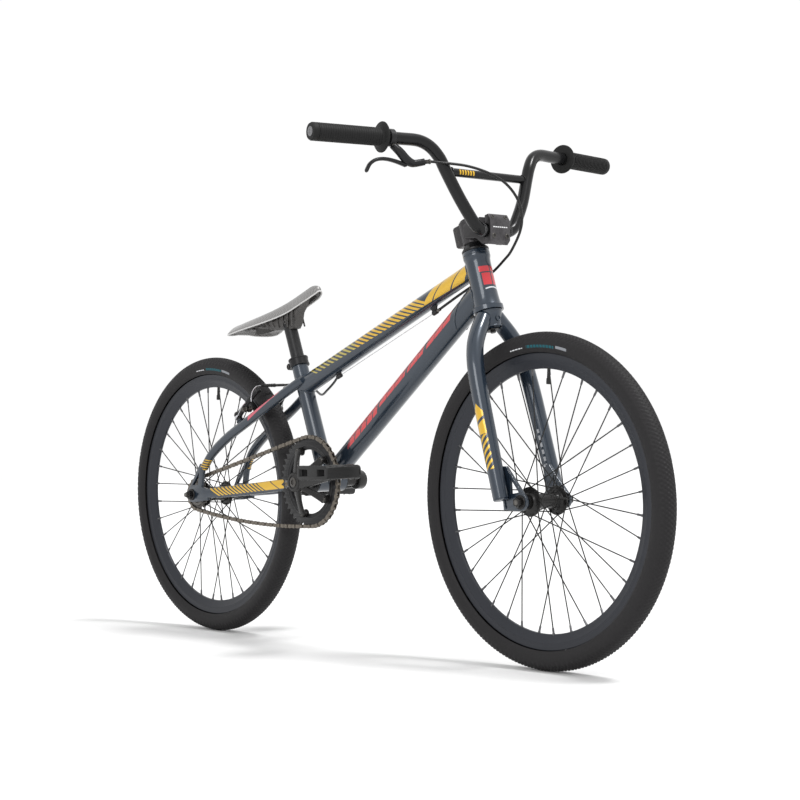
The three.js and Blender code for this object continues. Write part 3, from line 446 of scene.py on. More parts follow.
PAINT = (0.0135, 0.0235, 0.038)
YELLOW = (0.62, 0.37, 0.012)
PALE_YELLOW = (0.42, 0.34, 0.06)
RED = (0.55, 0.028, 0.034)
PINK = (0.55, 0.08, 0.12)
WHITE = (0.6, 0.61, 0.63)


def paint(name, layers=None):
    return material(name, PAINT, metallic=0.35, rough=0.3, coat=0.7, grain=1600.0, vary=0.16, layers=layers)


TOP_TUBE_START = V(-174.01, 0, 516.26)
TOP_TUBE_DIRECTION = (V(347.7, 0, 716.3) - TOP_TUBE_START).normalized()
DOWN_TUBE_DIRECTION = (V(359.7, 0, 673.6) - BRACKET).normalized()


def square_to(direction):
    return V(-direction.z, 0, direction.x)


def top_tube_layers(surface):
    s = surface.along(TOP_TUBE_START, TOP_TUBE_DIRECTION)
    h = surface.along(TOP_TUBE_START, square_to(TOP_TUBE_DIRECTION))
    slanted = s + h * 1.5
    floor_edge = (s * -0.028) + 1.5
    upper = (h - floor_edge).above(0.0)
    pitch = 13.4
    share = (slanted * 0.0006) + 0.38
    stripe = ((slanted % pitch) / pitch - share).below(0.0)
    hatch = stripe * slanted.between(68.0, 414.0) * upper
    bend = s - h * 1.9
    blocks = bend.between(425.0, 452.0).either(bend.between(456.5, 506.0)).either(bend.between(511.0, 548.0))
    block = blocks * (s * 0.03 + h).above(2.5) * s.above(412.0)
    thin = s.below(200.0)
    crown = h.above(13.5) * s.above(505.0)
    return [(hatch, YELLOW), (hatch * thin, PALE_YELLOW), (block * (crown * -1.0 + 1.0), YELLOW)]


def down_tube_layers(surface):
    s = surface.along(BRACKET, DOWN_TUBE_DIRECTION)
    h = surface.along(BRACKET, square_to(DOWN_TUBE_DIRECTION))
    slanted = s - h * 0.9
    upper = h.between(1.5, 21.2)
    low = h.between(-3.0, 17.0)
    long_blocks = slanted.between(232.0, 330.0).either(slanted.between(338.0, 396.0)).either(
        slanted.between(408.0, 492.0))
    gaps = (slanted % 29.0).above(2.0) * (
        (h - 10.0).absolute().above(0.9).either((slanted % 29.0).above(14.0)))
    short = slanted.between(112.0, 226.0) * ((slanted % 23.0).above(3.4))
    notch = (h - 7.5).absolute().above(1.2).either((slanted % 23.0).below(14.0))
    return [((long_blocks * gaps * upper).either(short * notch * low), RED)]


def seat_stay_layers(surface):
    x = surface.x()
    z = surface.z()
    centre_line = z - x * 0.61 - 639.4
    red = x.between(-303.0, -212.0) * centre_line.between(-4.5, 13.0) * surface.y().below(-30.0)
    hatch = ((z + x * 0.25) % 5.6).below(2.3) * z.between(346.0, 370.0) * surface.y().absolute().above(52.0)
    return [(red, PINK), (hatch, YELLOW)]


def chain_stay_layers(surface):
    x = surface.x()
    z = surface.z()
    outer = surface.y().absolute()
    side = outer.above(37.0)
    centre_line = (x + 300.0) * 0.085 + 309.0
    lift = z - centre_line
    slanted = x + lift * 1.7
    hatch = ((slanted % 11.5) - 6.2).below(0.0) * slanted.between(-418.0, -270.0)
    block = slanted.above(-266.0) * x.below(-198.0) * ((slanted + 224.0).absolute()).above(1.8)
    # The yellow print is real, but it stops 6.5 mm below the stay's centre line. The stay's lower edge keeps
    # the dark paint as painted shade.
    high = lift.above(-6.5)
    return [((hatch.either(block)) * side * high, YELLOW)]


def head_tube_layers(surface):
    s = surface.along(steering(0), UP_STEERING)
    y = surface.y()
    front = surface.along(steering(0), V(0.96222, 0, 0.27228)).above(0.0)
    upper = s.between(70.0, 80.5) * y.between(-17.5, 17.5)
    lower = s.between(45.0, 67.5) * y.between(-15.0, 15.0)
    split = y.between(1.0, 3.6)
    curved = s + y * y * 0.012
    white = curved.between(38.5, 41.0) * y.between(-14.0, 14.0)
    badge = (upper.either(lower)) * (split * -1.0 + 1.0)
    return [(badge * front, (0.5, 0.02, 0.03)), (white * front, WHITE)]


def fork_layers(surface):
    s = surface.along(steering(0), UP_STEERING)
    outer = surface.y().absolute().above(62.0)
    front_side = surface.along(steering(0), V(0.96222, 0, 0.27228))
    slanted = s - front_side * 0.9
    arrow = s.between(-228.0, -170.0) * ((s - front_side * 0.55 + 204.0).absolute()).above(3.0)
    taper = (s + front_side.absolute() * 1.6).below(-172.0)
    hatch = ((slanted % 12.5) - 5.6).below(0.0) * s.between(-292.0, -229.0)
    return [(((arrow * taper).either(hatch)) * outer * front_side.between(-11.5, 9.5), YELLOW)]


def fork_left_layers(surface):
    s = surface.along(steering(0), UP_STEERING)
    inner = surface.y().below(67.0) * surface.y().above(40.0)
    front_side = surface.along(steering(0), V(0.96222, 0, 0.27228))
    marks = s.between(-292.0, -222.0) * ((s % 13.0) - 5.0).above(0.0) * front_side.between(2.0, 6.0)
    return fork_layers(surface) + [(marks * inner, (0.35, 0.36, 0.38))]


def wheel_marks(axle, spans):
    """Short generic marks on a tyre's wall.

    A span is (start angle, end angle, inner radius, outer radius, colour, broken).
    """
    def layers(surface):
        dx = surface.along(axle, V(1, 0, 0))
        dz = surface.along(axle, V(0, 0, 1))
        radius = (dx * dx + dz * dz).power(0.5)
        angle = dz._math("ARCTAN2", dx) * (180 / math.pi)
        wall = surface.y().absolute().above(9.0)
        out = []
        for start, end, low, high, colour, broken in spans:
            mask = angle.between(start, end) * radius.between(low, high) * wall
            if broken:
                mask = mask * ((angle % 1.6) - 0.35).above(0.0)
            out.append((mask, colour))
        return out
    return layers


TEAL = (0.008, 0.08, 0.10)


def saddle_weave(surface):
    across = surface.y() * 0.42
    run = surface.x() * 0.42
    return (across * 6.283).sine() * (run * 6.283).sine() * 0.08


def saddle_layers(surface):
    cell = 2.4
    first = ((surface.x() / cell) % 2.0).above(1.0)
    second = ((surface.y() / cell) % 2.0).above(1.0)
    crossing = (first - second).absolute()
    return [(crossing, (0.245, 0.24, 0.235))]


looks = {
    "paint": paint("slate_paint"),
    "top_tube": paint("slate_paint_top_tube", top_tube_layers),
    "down_tube": paint("slate_paint_down_tube", down_tube_layers),
    "seat_stay": paint("slate_paint_seat_stay", seat_stay_layers),
    "chain_stay": paint("slate_paint_chain_stay", chain_stay_layers),
    "head_tube": paint("slate_paint_head_tube", head_tube_layers),
    "fork_right": paint("slate_paint_fork_right", fork_layers),
    "fork_left": paint("slate_paint_fork_left", fork_left_layers),
    "black": material("black_anodised", (0.010, 0.010, 0.011), metallic=0.3, rough=0.34, bump=0.04, wear=0.3,
                      wear_colour=(0.08, 0.08, 0.08), specular=0.35),
    "bar": material("black_bar_paint", (0.007, 0.007, 0.0075), rough=0.24, coat=0.05, bump=0.05,
                    specular=0.22),
    "satin": material("black_satin", (0.010, 0.0095, 0.0095), metallic=0.3, rough=0.27, bump=0.05, wear=0.35,
                      wear_colour=(0.09, 0.085, 0.08), specular=0.4),
    "stem": material("black_stem", (0.020, 0.019, 0.020), metallic=0.4, rough=0.36, bump=0.05, wear=0.6,
                     wear_colour=(0.16, 0.15, 0.16), specular=0.4),
    "rim": material("black_rim", (0.018, 0.020, 0.026), metallic=0.2, rough=0.36, bump=0.03, specular=0.35),
    "spoke": material("black_spoke", (0.010, 0.010, 0.010), metallic=0.3, rough=0.4, specular=0.3),
    "nipple": material("dark_nipple", (0.10, 0.10, 0.105), metallic=0.8, rough=0.35),
    "steel": material("bright_steel", (0.62, 0.62, 0.64), metallic=0.95, rough=0.28, bump=0.03),
    "dark_steel": material("dark_steel", (0.06, 0.056, 0.052), metallic=0.8, rough=0.34, bump=0.05, wear=0.6,
                           wear_colour=(0.25, 0.24, 0.22)),
    "chain": material("chain_steel", (0.085, 0.072, 0.058), metallic=0.8, rough=0.34, grain=260.0, vary=0.45,
                      wear=0.7,
                      wear_colour=(0.3, 0.27, 0.23)),
    "grip": material("grip_rubber", (0.006, 0.006, 0.006), rough=0.6, bump=0.15, bump_scale=1800.0,
                     specular=0.25),
    "plug": material("grey_plug", (0.14, 0.14, 0.145), rough=0.5, bump=0.05),
    "plastic": material("black_plastic", (0.009, 0.009, 0.009), rough=0.42, bump=0.10, bump_scale=1400.0,
                        specular=0.35),
    "cable": material("cable_housing", (0.006, 0.006, 0.006), rough=0.3, bump=0.02, specular=0.35),
    "rib": material("saddle_underside", (0.045, 0.042, 0.04), rough=0.5, bump=0.02, vary=0.2),
    "saddle": material("saddle_shell", (0.145, 0.142, 0.14), metallic=0.25, rough=0.34, coat=0.5, grain=320.0,
                       vary=0.08, layers=saddle_layers, height=saddle_weave),
    "edge": material("saddle_edge", (0.50, 0.495, 0.49), rough=0.35, coat=0.3),
    "white_mark": material("white_mark", (0.75, 0.75, 0.76), rough=0.4),
    "yellow_mark": material("yellow_mark", YELLOW, rough=0.4),
}

# ------------------------------------------------------------------- frame's tubes


def cone(start, end, r0, r1, wide=1.0, segments=56, rows=2):
    path = [start.lerp(end, i / (rows - 1)) for i in range(rows)]
    radii = []
    for i in range(rows):
        r = r0 + (r1 - r0) * i / (rows - 1)
        radii.append((r * wide, r))
    return sweep(path, radii, segments)


def weld(start, end, radius, wide, centre, axis, target, size=1.9, reach=90.0):
    """A rippled bead where a tube that runs from start to end meets a round tube of radius `target`."""
    direction = (end - start).normalized()
    side = Y_AXIS
    up = direction.cross(side).normalized()
    path = []
    count = 110
    for i in range(count):
        turn = 2 * math.pi * i / count
        p = end + side * math.cos(turn) * radius * wide + up * math.sin(turn) * radius
        rel = p - centre
        a = direction - axis * direction.dot(axis)
        b = rel - axis * rel.dot(axis)
        qa, qb, qc = a.dot(a), 2 * a.dot(b), b.dot(b) - target ** 2
        disc = qb * qb - 4 * qa * qc
        if disc <= 0:
            continue
        t = (-qb - math.sqrt(disc)) / (2 * qa)
        if abs(t) < reach:
            path.append(p + direction * t)
    if len(path) < 20:
        return None
    closed = (path[0] - path[-1]).length < 12
    radii = [size * (1 + 0.16 * math.sin(i * 1.9)) for i in range(len(path))]
    return sweep(path, radii, 8, closed=closed)


HEAD_CENTRE = steering(0)
top_start, top_end = TOP_TUBE_START, V(347.7, 0, 716.3)
down_end = V(359.7, 0, 673.6)
seat_top = seat_line(262)


def head_tube():
    profile = [[19, 0], [27.6, 0], [28, 0.5], [28, 8.4], [27.5, 9], [25.6, 9.6], [24.6, 14], [23.8, 22],
               [23.1, 40],
               [23, 60], [23, 90], [23.3, 97], [24.6, 101.5], [25, 103], [25, 106.2], [24.3, 106.8],
               [24.3, 107.6],
               [25, 108.2], [25, HEAD_LENGTH - 0.8], [24.4, HEAD_LENGTH], [19, HEAD_LENGTH]]
    piece("head_tube_skin", turned(profile, steering(0), steering(HEAD_LENGTH), 72), "frame",
          looks["head_tube"],
          ["head_tube"])


def frame_tubes():
    piece("top_tube_skin", cone(top_start, top_end.lerp(top_start, 0.02), 19.5, 15.6, 1.05), "frame",
          looks["top_tube"], ["top_tube"])
    piece("down_tube_skin", cone(BRACKET, down_end, 20.5, 22, 0.95), "frame", looks["down_tube"],
          ["down_tube"])
    length = 262
    seat_profile = [[13.9, 30], [17.7, 30], [16.5, length - 0.6], [16.0, length], [13.9, length]]
    seat_tube = turned(seat_profile, BRACKET, seat_line(length), 56)
    piece("seat_tube_skin", [seat_tube, rod(BRACKET, seat_line(32), 18, 17.8, 56)], "frame", looks["paint"],
          ["seat_tube"])
    shell = [[17.5, 0], [20.4, 0], [21, 0.6], [21, 67.4], [20.4, 68], [17.5, 68]]
    piece("bracket_shell_skin", turned(shell, BRACKET + V(0, -34, 0), BRACKET + V(0, 34, 0), 56), "frame",
          looks["paint"], ["bottom_bracket_shell"])

    beads = [
        weld(top_start, top_end, 15.6, 1.05, HEAD_CENTRE, UP_STEERING, 23.1),
        weld(BRACKET, down_end, 21.9, 0.95, HEAD_CENTRE, UP_STEERING, 23.6),
        weld(top_end, top_start, 19.4, 1.05, BRACKET, UP_SEAT, 16.9),
        weld(seat_top, BRACKET, 17.9, 1.0, BRACKET, Y_AXIS, 21.0, reach=60),
        weld(down_end, BRACKET, 20.6, 0.95, BRACKET, Y_AXIS, 21.0, reach=60),
    ]
    beads = [bead for bead in beads if bead]
    # A curved seam crosses the down tube's side where its gusset is welded on.
    for side, _ in SIDES:
        seam = []
        for i in range(40):
            t = i / 39
            turn = math.radians(62 - 118 * t)
            along = 556 - 66 * t - 26 * math.sin(math.pi * t) * 0.4
            centre = BRACKET + DOWN_TUBE_DIRECTION * along
            r = 21.7
            seam.append(centre + V(0, side * r * 0.955 * math.cos(turn), 0)
                        + square_to(DOWN_TUBE_DIRECTION) * r * math.sin(turn))
        beads.append(sweep(seam, [1.3 * (1 + 0.2 * math.sin(i * 1.9)) for i in range(40)], 8))
    piece("frame_welds", beads, "frame", looks["paint"])
    guide = BRACKET + DOWN_TUBE_DIRECTION * 530 - square_to(DOWN_TUBE_DIRECTION) * 23.2
    loops = [rod(guide + V(-4, y, 0), guide + V(5, y, 2.5), 2.6) for y in (-5, 4)]
    piece("down_tube_guide", loops, "frame", looks["plastic"])


SEAT_STAY = [V(-158, 17, 529.5), V(-181, 23.5, 516.7), V(-211.6, 31, 499.8), V(-262.9, 38.5, 473.1),
             V(-320, 43.5, 445.2), V(-378.9, 47.5, 416.8), V(-429.7, 52, 383.7), V(-457, 56.5, 352)]
CHAIN_STAY = [V(-112, 23, 322), V(-160, 29.5, 320), V(-202, 34, 317.5), V(-245, 37.5, 314), V(-300, 42, 309),
              V(-360, 47, 304), V(-410, 53, 300.5), V(-444, 58, 298)]
BRAKE_TILT = math.radians(40)
BRAKE_POST = V(-math.sin(BRAKE_TILT), 0, math.cos(BRAKE_TILT))
ALONG_ARM = V(math.cos(BRAKE_TILT), 0, math.sin(BRAKE_TILT))


def brake_pivot(side):
    return V(-345, side * 43, 456)


def stays(side, name):
    path = smooth(SEAT_STAY, 60)
    radii = []
    for i in range(60):
        t = i / 59
        radii.append((9.5 - 1.0 * max(0, (t - 0.8) / 0.2), 9.9 - 1.2 * max(0, (t - 0.8) / 0.2)))
    stay = mirrored(sweep(path, radii, 32), side)
    post = rod(brake_pivot(side) - BRAKE_POST * 24, brake_pivot(side) - BRAKE_POST * 6.4, 7.2, 6.4, 28)
    collar = rod(brake_pivot(side) - BRAKE_POST * 9, brake_pivot(side) - BRAKE_POST * 6.4, 8.6, 8.6, 28)
    piece(f"seat_stay_{name}_skin", [stay, post, collar], "frame", looks["seat_stay"],
          [f"seat_stay_{name}"])

    path = smooth(CHAIN_STAY, 50)
    radii = [(6.6 + 3.6 * max(0.0, 0.22 - i / 49) / 0.22, 12.0 - 1.6 * max(0.0, i / 49 - 0.7) / 0.3)
             for i in range(50)]
    stay = mirrored(sweep(path, radii, 36, power=2.5), side)
    piece(f"chain_stay_{name}_skin", stay, "frame", looks["chain_stay"],
          [f"chain_stay_{name}"])

    x, z = REAR_AXLE.x, REAR_AXLE.z
    outline = arc(x, z, 16, 135, 270, 14) + [(x + 24, z - 15), (x + 60, z - 11), (x + 60, z + 12),
                                             (x + 38, z + 17),
                                             (x + 47, z + 58), (x + 33, z + 66)]
    gusset = [(x + 4, z + 21), (x + 29, z + 47), (x + 24, z + 21)]
    slot = [(x + 5.4, z - 4)] + arc(x, z, 5.4, -90, -270, 16) + [(x + 5.4, z + 4)]
    low, high = (-61.5, -55) if side == RIGHT else (55, 61.5)
    plate = flat(outline, low, high, [gusset, slot], 0.9)
    bead_path = smooth([V(x + 34, side * 60, z + 60), V(x + 45, side * 62, z + 56),
                        V(x + 46, side * 61, z + 50)], 12)
    piece(f"dropout_{name}_skin", [plate, sweep(bead_path, 1.6, 8)], "frame", looks["paint"],
          [f"dropout_{name}"])


def bolt_head(centre, out, radius=4.2, height=4.0):
    """A socket head bolt: centre is on the surface and out points away from it."""
    profile = [[0, -1], [radius, -1], [radius, height - 0.6], [radius - 0.6, height],
               [radius * 0.56, height, "hex"], [radius * 0.52, height - 2.2, "hex"], [0, height - 2.4]]
    return turned(profile, centre, centre + out, 24)


def nut_shape(centre, out, across=8.6, thickness=8.0, washer=12.5, bore=5.2):
    profile = [[bore, 0], [washer, 0], [washer, 1.5], [washer - 1, 2.4], [across, 2.6, "hex"],
               [across, thickness - 1, "hex"], [across - 1.3, thickness, "hex"], [bore, thickness]]
    return turned(profile, centre, centre + out, 36)


def axle_set(name, axle, half, face, body):
    threads = []
    count = int(2 * half / 1.0)
    profile = [[0, 0]]
    for i in range(count + 1):
        s = i * 2 * half / count
        near_end = s < 16 or s > 2 * half - 16
        profile.append([4.85 if (i % 2 == 0 and near_end) else 4.45, min(max(s, 0.2), 2 * half - 0.2)])
    profile.append([0, 2 * half])
    threads.append(turned(profile, axle + V(0, -half, 0), axle + V(0, half, 0), 20))
    piece(f"{name}_axle_rod", threads, body, looks["dark_steel"], [f"{name}_axle"])
    for side, label in SIDES:
        nut = nut_shape(axle + V(0, side * (face + 0.3), 0), V(0, side, 0), thickness=10.8)
        piece(f"{name}_nut_{label}", nut, body, looks["satin"],
              [f"{name}_axle_nut_{label}"])


def seat_clamp():
    start, end = seat_line(247), seat_line(265)
    profile = [[14.2, 15.6], [17.1, 15.2], [17.1, 0.2], [20.0, 0.2], [20.5, 0.8], [20.5, 3], [19.7, 3.6],
               [19.7, 14],
               [20.5, 14.6], [20.5, 17.2], [19.9, 17.8], [14.2, 17.8]]
    collar = turned(profile, start, end, 56)
    behind = seat_line(256) + V(-22, 0, -8)
    ears = []
    for side in (RIGHT, LEFT):
        ears.append(rod(behind + V(0, side * 1.2, 0), behind + V(0, side * 10.8, 0), 7.2, 6.6, 28))
        ears.append(flat([(behind.x + 3, behind.z - 6), (behind.x + 9, behind.z - 4),
                          (behind.x + 9, behind.z + 8),
                          (behind.x + 3, behind.z + 6)], *sorted((side * 1.2, side * 8)), bevel=0.6))
    piece("seat_clamp_ring", [collar, *ears], "frame", looks["black"], ["seat_clamp"])
    bolt = [bolt_head(behind + V(0, -10.6, 0), V(0, -1, 0), 3.6, 2.4),
            rod(behind + V(0, -11, 0), behind + V(0, 10, 0), 2.4)]
    piece("seat_clamp_bolt", bolt, "frame", looks["dark_steel"])


def bearings():
    for name in ("headset_bearing_upper", "headset_bearing_lower"):
        for material_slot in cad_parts[name].material_slots:
            material_slot.material = looks["steel"]
    for side, label in SIDES:
        face = BRACKET + V(0, side * 20, 0)
        out = V(0, side, 0)
        profile = [[12.6, 0], [17.1, 0], [17.1, 14.3], [20, 14.4], [20, 16.4], [19.4, 17], [14.6, 17],
                   [14.2, 16.4],
                   [12.6, 16.4]]
        piece(f"bracket_cup_{label}_ring", turned(profile, face, face + out, 48), "frame", looks["black"],
              [f"bracket_cup_{label}"])


# -------------------------------------------------------------------------- saddle

TAIL, NOSE = -384.0, -118.0
END_LENGTH = 0.11  # share of the saddle's length over which its sides draw together at each end
END_START = 0.002
END_FALL = 0.75


def ridge(t):
    dip = 5.5 * math.sin(math.pi * t)
    return 646 + (727 - 646) * t - dip + 5 * max(0.0, 0.15 - t) / 0.15


def half_width(t):
    f = min(max(((1 - t) - 0.3) / 0.62, 0.0), 1.0)
    body = f * f * (3 - 2 * f)
    ends = math.sqrt(max(0.0, 1 - abs(2 * t - 1) ** 9))
    return (13 + 49 * body) * ends + 1


def saddle():
    rows, columns = 64, 36
    verts, faces = [], []
    for layer in (0, 1):
        for i in range(rows + 1):
            u = i / rows
            t = 0.5 - 0.5 * math.cos(math.pi * u)
            t = 0.35 * t + 0.65 * u
            t = min(max(t, END_START), 1 - END_START)
            half = half_width(t)
            drop = 21 + 3 * t
            reach = min(1.0, (min(t, 1 - t) - END_START) / END_LENGTH)
            closed = 1 - math.sqrt(1 - (1 - reach) ** 2)
            for j in range(columns + 1):
                across = -1 + 2 * j / columns
                droop = END_FALL * drop * closed + drop * (1 - closed) * abs(across) ** 3.2
                thickness = 3.2 + 2.5 * (1 - abs(across) ** 3)
                end_fade = min(1.0, 12 * min(t, 1 - t) + 0.25)
                z = ridge(t) - droop - layer * thickness * end_fade
                if layer == 0:
                    z -= 0.3
                verts.append(V(TAIL + (NOSE - TAIL) * t, across * half * (1 - 0.012 * layer), z))
    stride = (rows + 1) * (columns + 1)
    for layer in (0, 1):
        for i in range(rows):
            for j in range(columns):
                a = layer * stride + i * (columns + 1) + j
                face = (a, a + 1, a + columns + 2, a + columns + 1)
                faces.append(face if layer == 0 else face[::-1])
    loop = [i * (columns + 1) for i in range(rows + 1)]
    loop += [rows * (columns + 1) + j for j in range(1, columns + 1)]
    loop += [i * (columns + 1) + columns for i in range(rows - 1, -1, -1)]
    loop += [j for j in range(columns - 1, 0, -1)]
    for a, b in zip(loop, loop[1:] + loop[:1]):
        faces.append((a, a + stride, b + stride, b))
    piece("saddle_shell", (verts, faces), "seat", looks["saddle"], ["saddle"], angle=60)

    rim_path = []
    for index in loop:
        v = verts[index]
        rim_path.append(V(v.x, v.y * 0.985, v.z - 1.9))
    piece("saddle_edge_bead", sweep(rim_path, 1.5, 8, closed=True, first_side=V(0, 0, 1)), "seat",
          looks["edge"])

    low_line = [(-352, 646), (-338, 647), (-300, 641), (-270, 637.5), (-246, 635), (-215, 634.5), (-197, 636),
                (-188, 650), (-184, 668), (-172, 681), (-160, 692), (-150, 703), (-140, 712)]
    keel_v, keel_f = [], []
    stations = 44

    def lowest(x):
        for (x0, z0), (x1, z1) in zip(low_line, low_line[1:]):
            if x0 <= x <= x1:
                f = (x - x0) / (x1 - x0)
                return z0 + (z1 - z0) * f
        return low_line[-1][1]

    for i in range(stations):
        x = -350 + (-146 + 350) * i / (stations - 1)
        t = (x - TAIL) / (NOSE - TAIL)
        wide = half_width(t)
        top = ridge(t) - 5.5
        low = lowest(x)
        rib = 0.9 * math.sin(i * 2.2)
        shape = [(wide * 0.74, top - 13), (wide * 0.60, top - 18)]
        depth = max(top - low, 4)
        grip = min(1.0, depth / 30)
        shape.append((wide * 0.30 + 12 * grip, low + depth * 0.42))
        shape.append((15.5 + rib, low + depth * 0.16))
        shape.append((11 + rib, low))
        taper = min(1.0, 0.3 + i / 9)
        shape = [(min(w * taper, wide * 0.74), z) for w, z in shape]
        ring = [V(x, -w, z) for w, z in shape] + [V(x, w, z) for w, z in shape[::-1]]
        ring.append(V(x, wide * 0.5, top - 7))
        ring.append(V(x, 0, top - 4))
        ring.append(V(x, -wide * 0.5, top - 7))
        keel_v.extend(ring)
        size = len(ring)
        if i:
            for k in range(size):
                n = (k + 1) % size
                a, b = (i - 1) * size, i * size
                keel_f.append((a + k, b + k, b + n, a + n))
    size = len(ring)
    keel_f.append(tuple(range(size)))
    keel_f.append(tuple(range((stations - 1) * size, stations * size))[::-1])
    piece("saddle_underside", (keel_v, keel_f), "seat", looks["rib"], angle=50)

    ribs = []
    for i in range(9):
        x = -318 + i * 15
        t = (x - TAIL) / (NOSE - TAIL)
        wide = half_width(t)
        low = lowest(x)
        for side in (RIGHT, LEFT):
            a = V(x, side * wide * 0.70, ridge(t) - 20)
            b = V(x + 6, side * 16.5, low + 4)
            ribs.append(sweep([a, a.lerp(b, 0.5) + V(0, side * 1.0, -2.0), b], (1.4, 2.2), 8))
    ribs.append(bolt_head(V(-214, -15, 650), V(0, -1, 0), 5.0, 3.0))
    ribs.append(bolt_head(V(-214, 15, 650), V(0, 1, 0), 5.0, 3.0))
    piece("saddle_ribs", ribs, "seat", looks["rib"])
    post = turned([[0, 160], [12.6, 160], [13.6, 161], [13.6, 334], [0, 334]], BRACKET, seat_line(334), 56)
    head = turned([[0, 330], [13.2, 330], [15.4, 335], [15.4, 343], [13, 346], [0, 346]], BRACKET,
                  seat_line(346), 40)
    piece("seat_post_tube", [post, head], "seat", looks["black"], ["seat_post"])


# -------------------------------------------------------------------------- wheels


def ring_sweep(profile, axle, segments):
    """A ring turned about the Y axis through the axle. The profile is closed: [radius, y]."""
    verts, faces = [], []
    count = len(profile)
    for i in range(segments):
        turn = 2 * math.pi * i / segments
        c, s = math.cos(turn), math.sin(turn)
        for r, y in profile:
            verts.append(V(axle.x + r * s, axle.y + y, axle.z + r * c))
    for i in range(segments):
        a, b = i * count, ((i + 1) % segments) * count
        for k in range(count):
            n = (k + 1) % count
            faces.append((a + k, b + k, b + n, a + n))
    return verts, faces


def tyre(name, axle, spans):
    centre = WHEEL_RADIUS - TYRE_SECTION
    around = 900
    across = 40
    start, end = -138.0, 138.0
    verts, faces = [], []
    inner = 5
    width = across + 1 + inner
    for i in range(around):
        turn = 2 * math.pi * i / around
        c, s = math.cos(turn), math.sin(turn)
        for j in range(across + 1):
            at = start + (end - start) * j / across
            r = TYRE_SECTION - 1.0
            if abs(at) < 62:
                block = (i // 2 + j // 2) % 2 == 0
                crown = 1.0 - 0.3 * abs(at) / 62
                r += 0.95 * crown if block else -0.35
            elif abs(at) < 70:
                r += 0.75 if (i // 3) % 2 == 0 else 0.1
            elif abs(at) > 122:
                r += 0.5
            elif 104 < abs(at) < 110:
                r += 0.45
            radial = centre + r * math.cos(math.radians(at))
            verts.append(V(axle.x + radial * s, r * math.sin(math.radians(at)), axle.z + radial * c))
        for j in range(inner):
            at = end - 10 - (2 * end - 20) * j / (inner - 1)
            r = TYRE_SECTION - 3
            radial = centre + r * math.cos(math.radians(at))
            verts.append(V(axle.x + radial * s, r * math.sin(math.radians(at)), axle.z + radial * c))
    for i in range(around):
        a, b = i * width, ((i + 1) % around) * width
        for k in range(width):
            n = (k + 1) % width
            faces.append((a + k, b + k, b + n, a + n))
    look = material(f"{name}_tyre_rubber", (0.014, 0.0132, 0.014), rough=0.6, bump=0.12, bump_scale=1500.0,
                    vary=0.2,
                    layers=wheel_marks(axle, spans), specular=0.22)
    piece(f"{name}_tyre_tread", (verts, faces), f"{name}_wheel", look, [f"{name}_tyre"], angle=30)


def rim(name, axle):
    outer = [[RIM_OUTER - 1.0, 9.6], [RIM_OUTER - 2.2, 10.0], [RIM_OUTER - 3.6, 9.5], [RIM_OUTER - 12.0, 9.5],
             [RIM_OUTER - 12.6, 9.2], [RIM_OUTER - 13.4, 9.4], [RIM_OUTER - 16, 8.6], [RIM_INNER + 8, 5.4],
             [RIM_INNER + 2.5, 4.0], [RIM_INNER + 0.6, 2.6], [RIM_INNER + 0.2, 0]]
    inner = [[RIM_INNER + 3, 0], [RIM_INNER + 6, 2.8], [RIM_OUTER - 13, 7.4], [RIM_OUTER - 1.5, 7.6]]
    profile = outer + [[r, -y] for r, y in outer[:-1][::-1]] + [[r, -y] for r, y in inner[1:][::-1]] + inner
    piece(f"{name}_rim_hoop", ring_sweep(profile, axle, 220), f"{name}_wheel", looks["rim"],
          [f"{name}_rim"], angle=24)
    valve_turn = math.pi / SPOKES_PER_SIDE / 2
    out = V(math.sin(valve_turn), 0, math.cos(valve_turn))
    foot = axle + out * (RIM_INNER + 2)
    stem = turned([[0, -2], [4.2, -2], [4.2, 1.2], [3, 1.4], [3, 18], [3.9, 18.4], [3.9, 27], [3.3, 28.5],
                   [0, 28.5]],
                  foot, foot - out, 20)
    piece(f"{name}_valve", stem, f"{name}_wheel", looks["plastic"])


def spokes(name, axle, side, label, flange):
    step = 2 * math.pi / SPOKES_PER_SIDE
    wires, nipples = [], []
    for i in range(SPOKES_PER_SIDE):
        leading = 1 if i % 2 == 0 else -1
        hub_angle = i * step + side * step / 4
        rim_angle = hub_angle + leading * step * 3
        a = axle + V(math.sin(hub_angle) * SPOKE_HOLES, side * (flange + leading * 1.9),
                     math.cos(hub_angle) * SPOKE_HOLES)
        b = axle + V(math.sin(rim_angle) * (RIM_INNER + 1), side * (1.3 + leading),
                     math.cos(rim_angle) * (RIM_INNER + 1))
        direction = (b - a).normalized()
        elbow = V(0, -leading * side * 3.2, 0)
        wires.append(sweep([a + elbow, a + elbow * 0.3, a + direction * 1.6, a.lerp(b, 0.5),
                            b - direction * 10],
                           1.1, 8))
        head = a + elbow
        wires.append(rod(head, head + elbow.normalized() * 1.0, 1.9, 1.5, 10))
        nipples.append(turned([[0, 0], [1.5, 0], [2.0, 1.2], [2.0, 9], [2.4, 10], [2.4, 13], [0, 13]],
                              b - direction * 12, b, 10))
    piece(f"{name}_spoke_set_{label}", wires, f"{name}_wheel", looks["spoke"],
          [f"{name}_spokes_{label}"])
    piece(f"{name}_nipples_{label}", nipples, f"{name}_wheel", looks["nipple"])


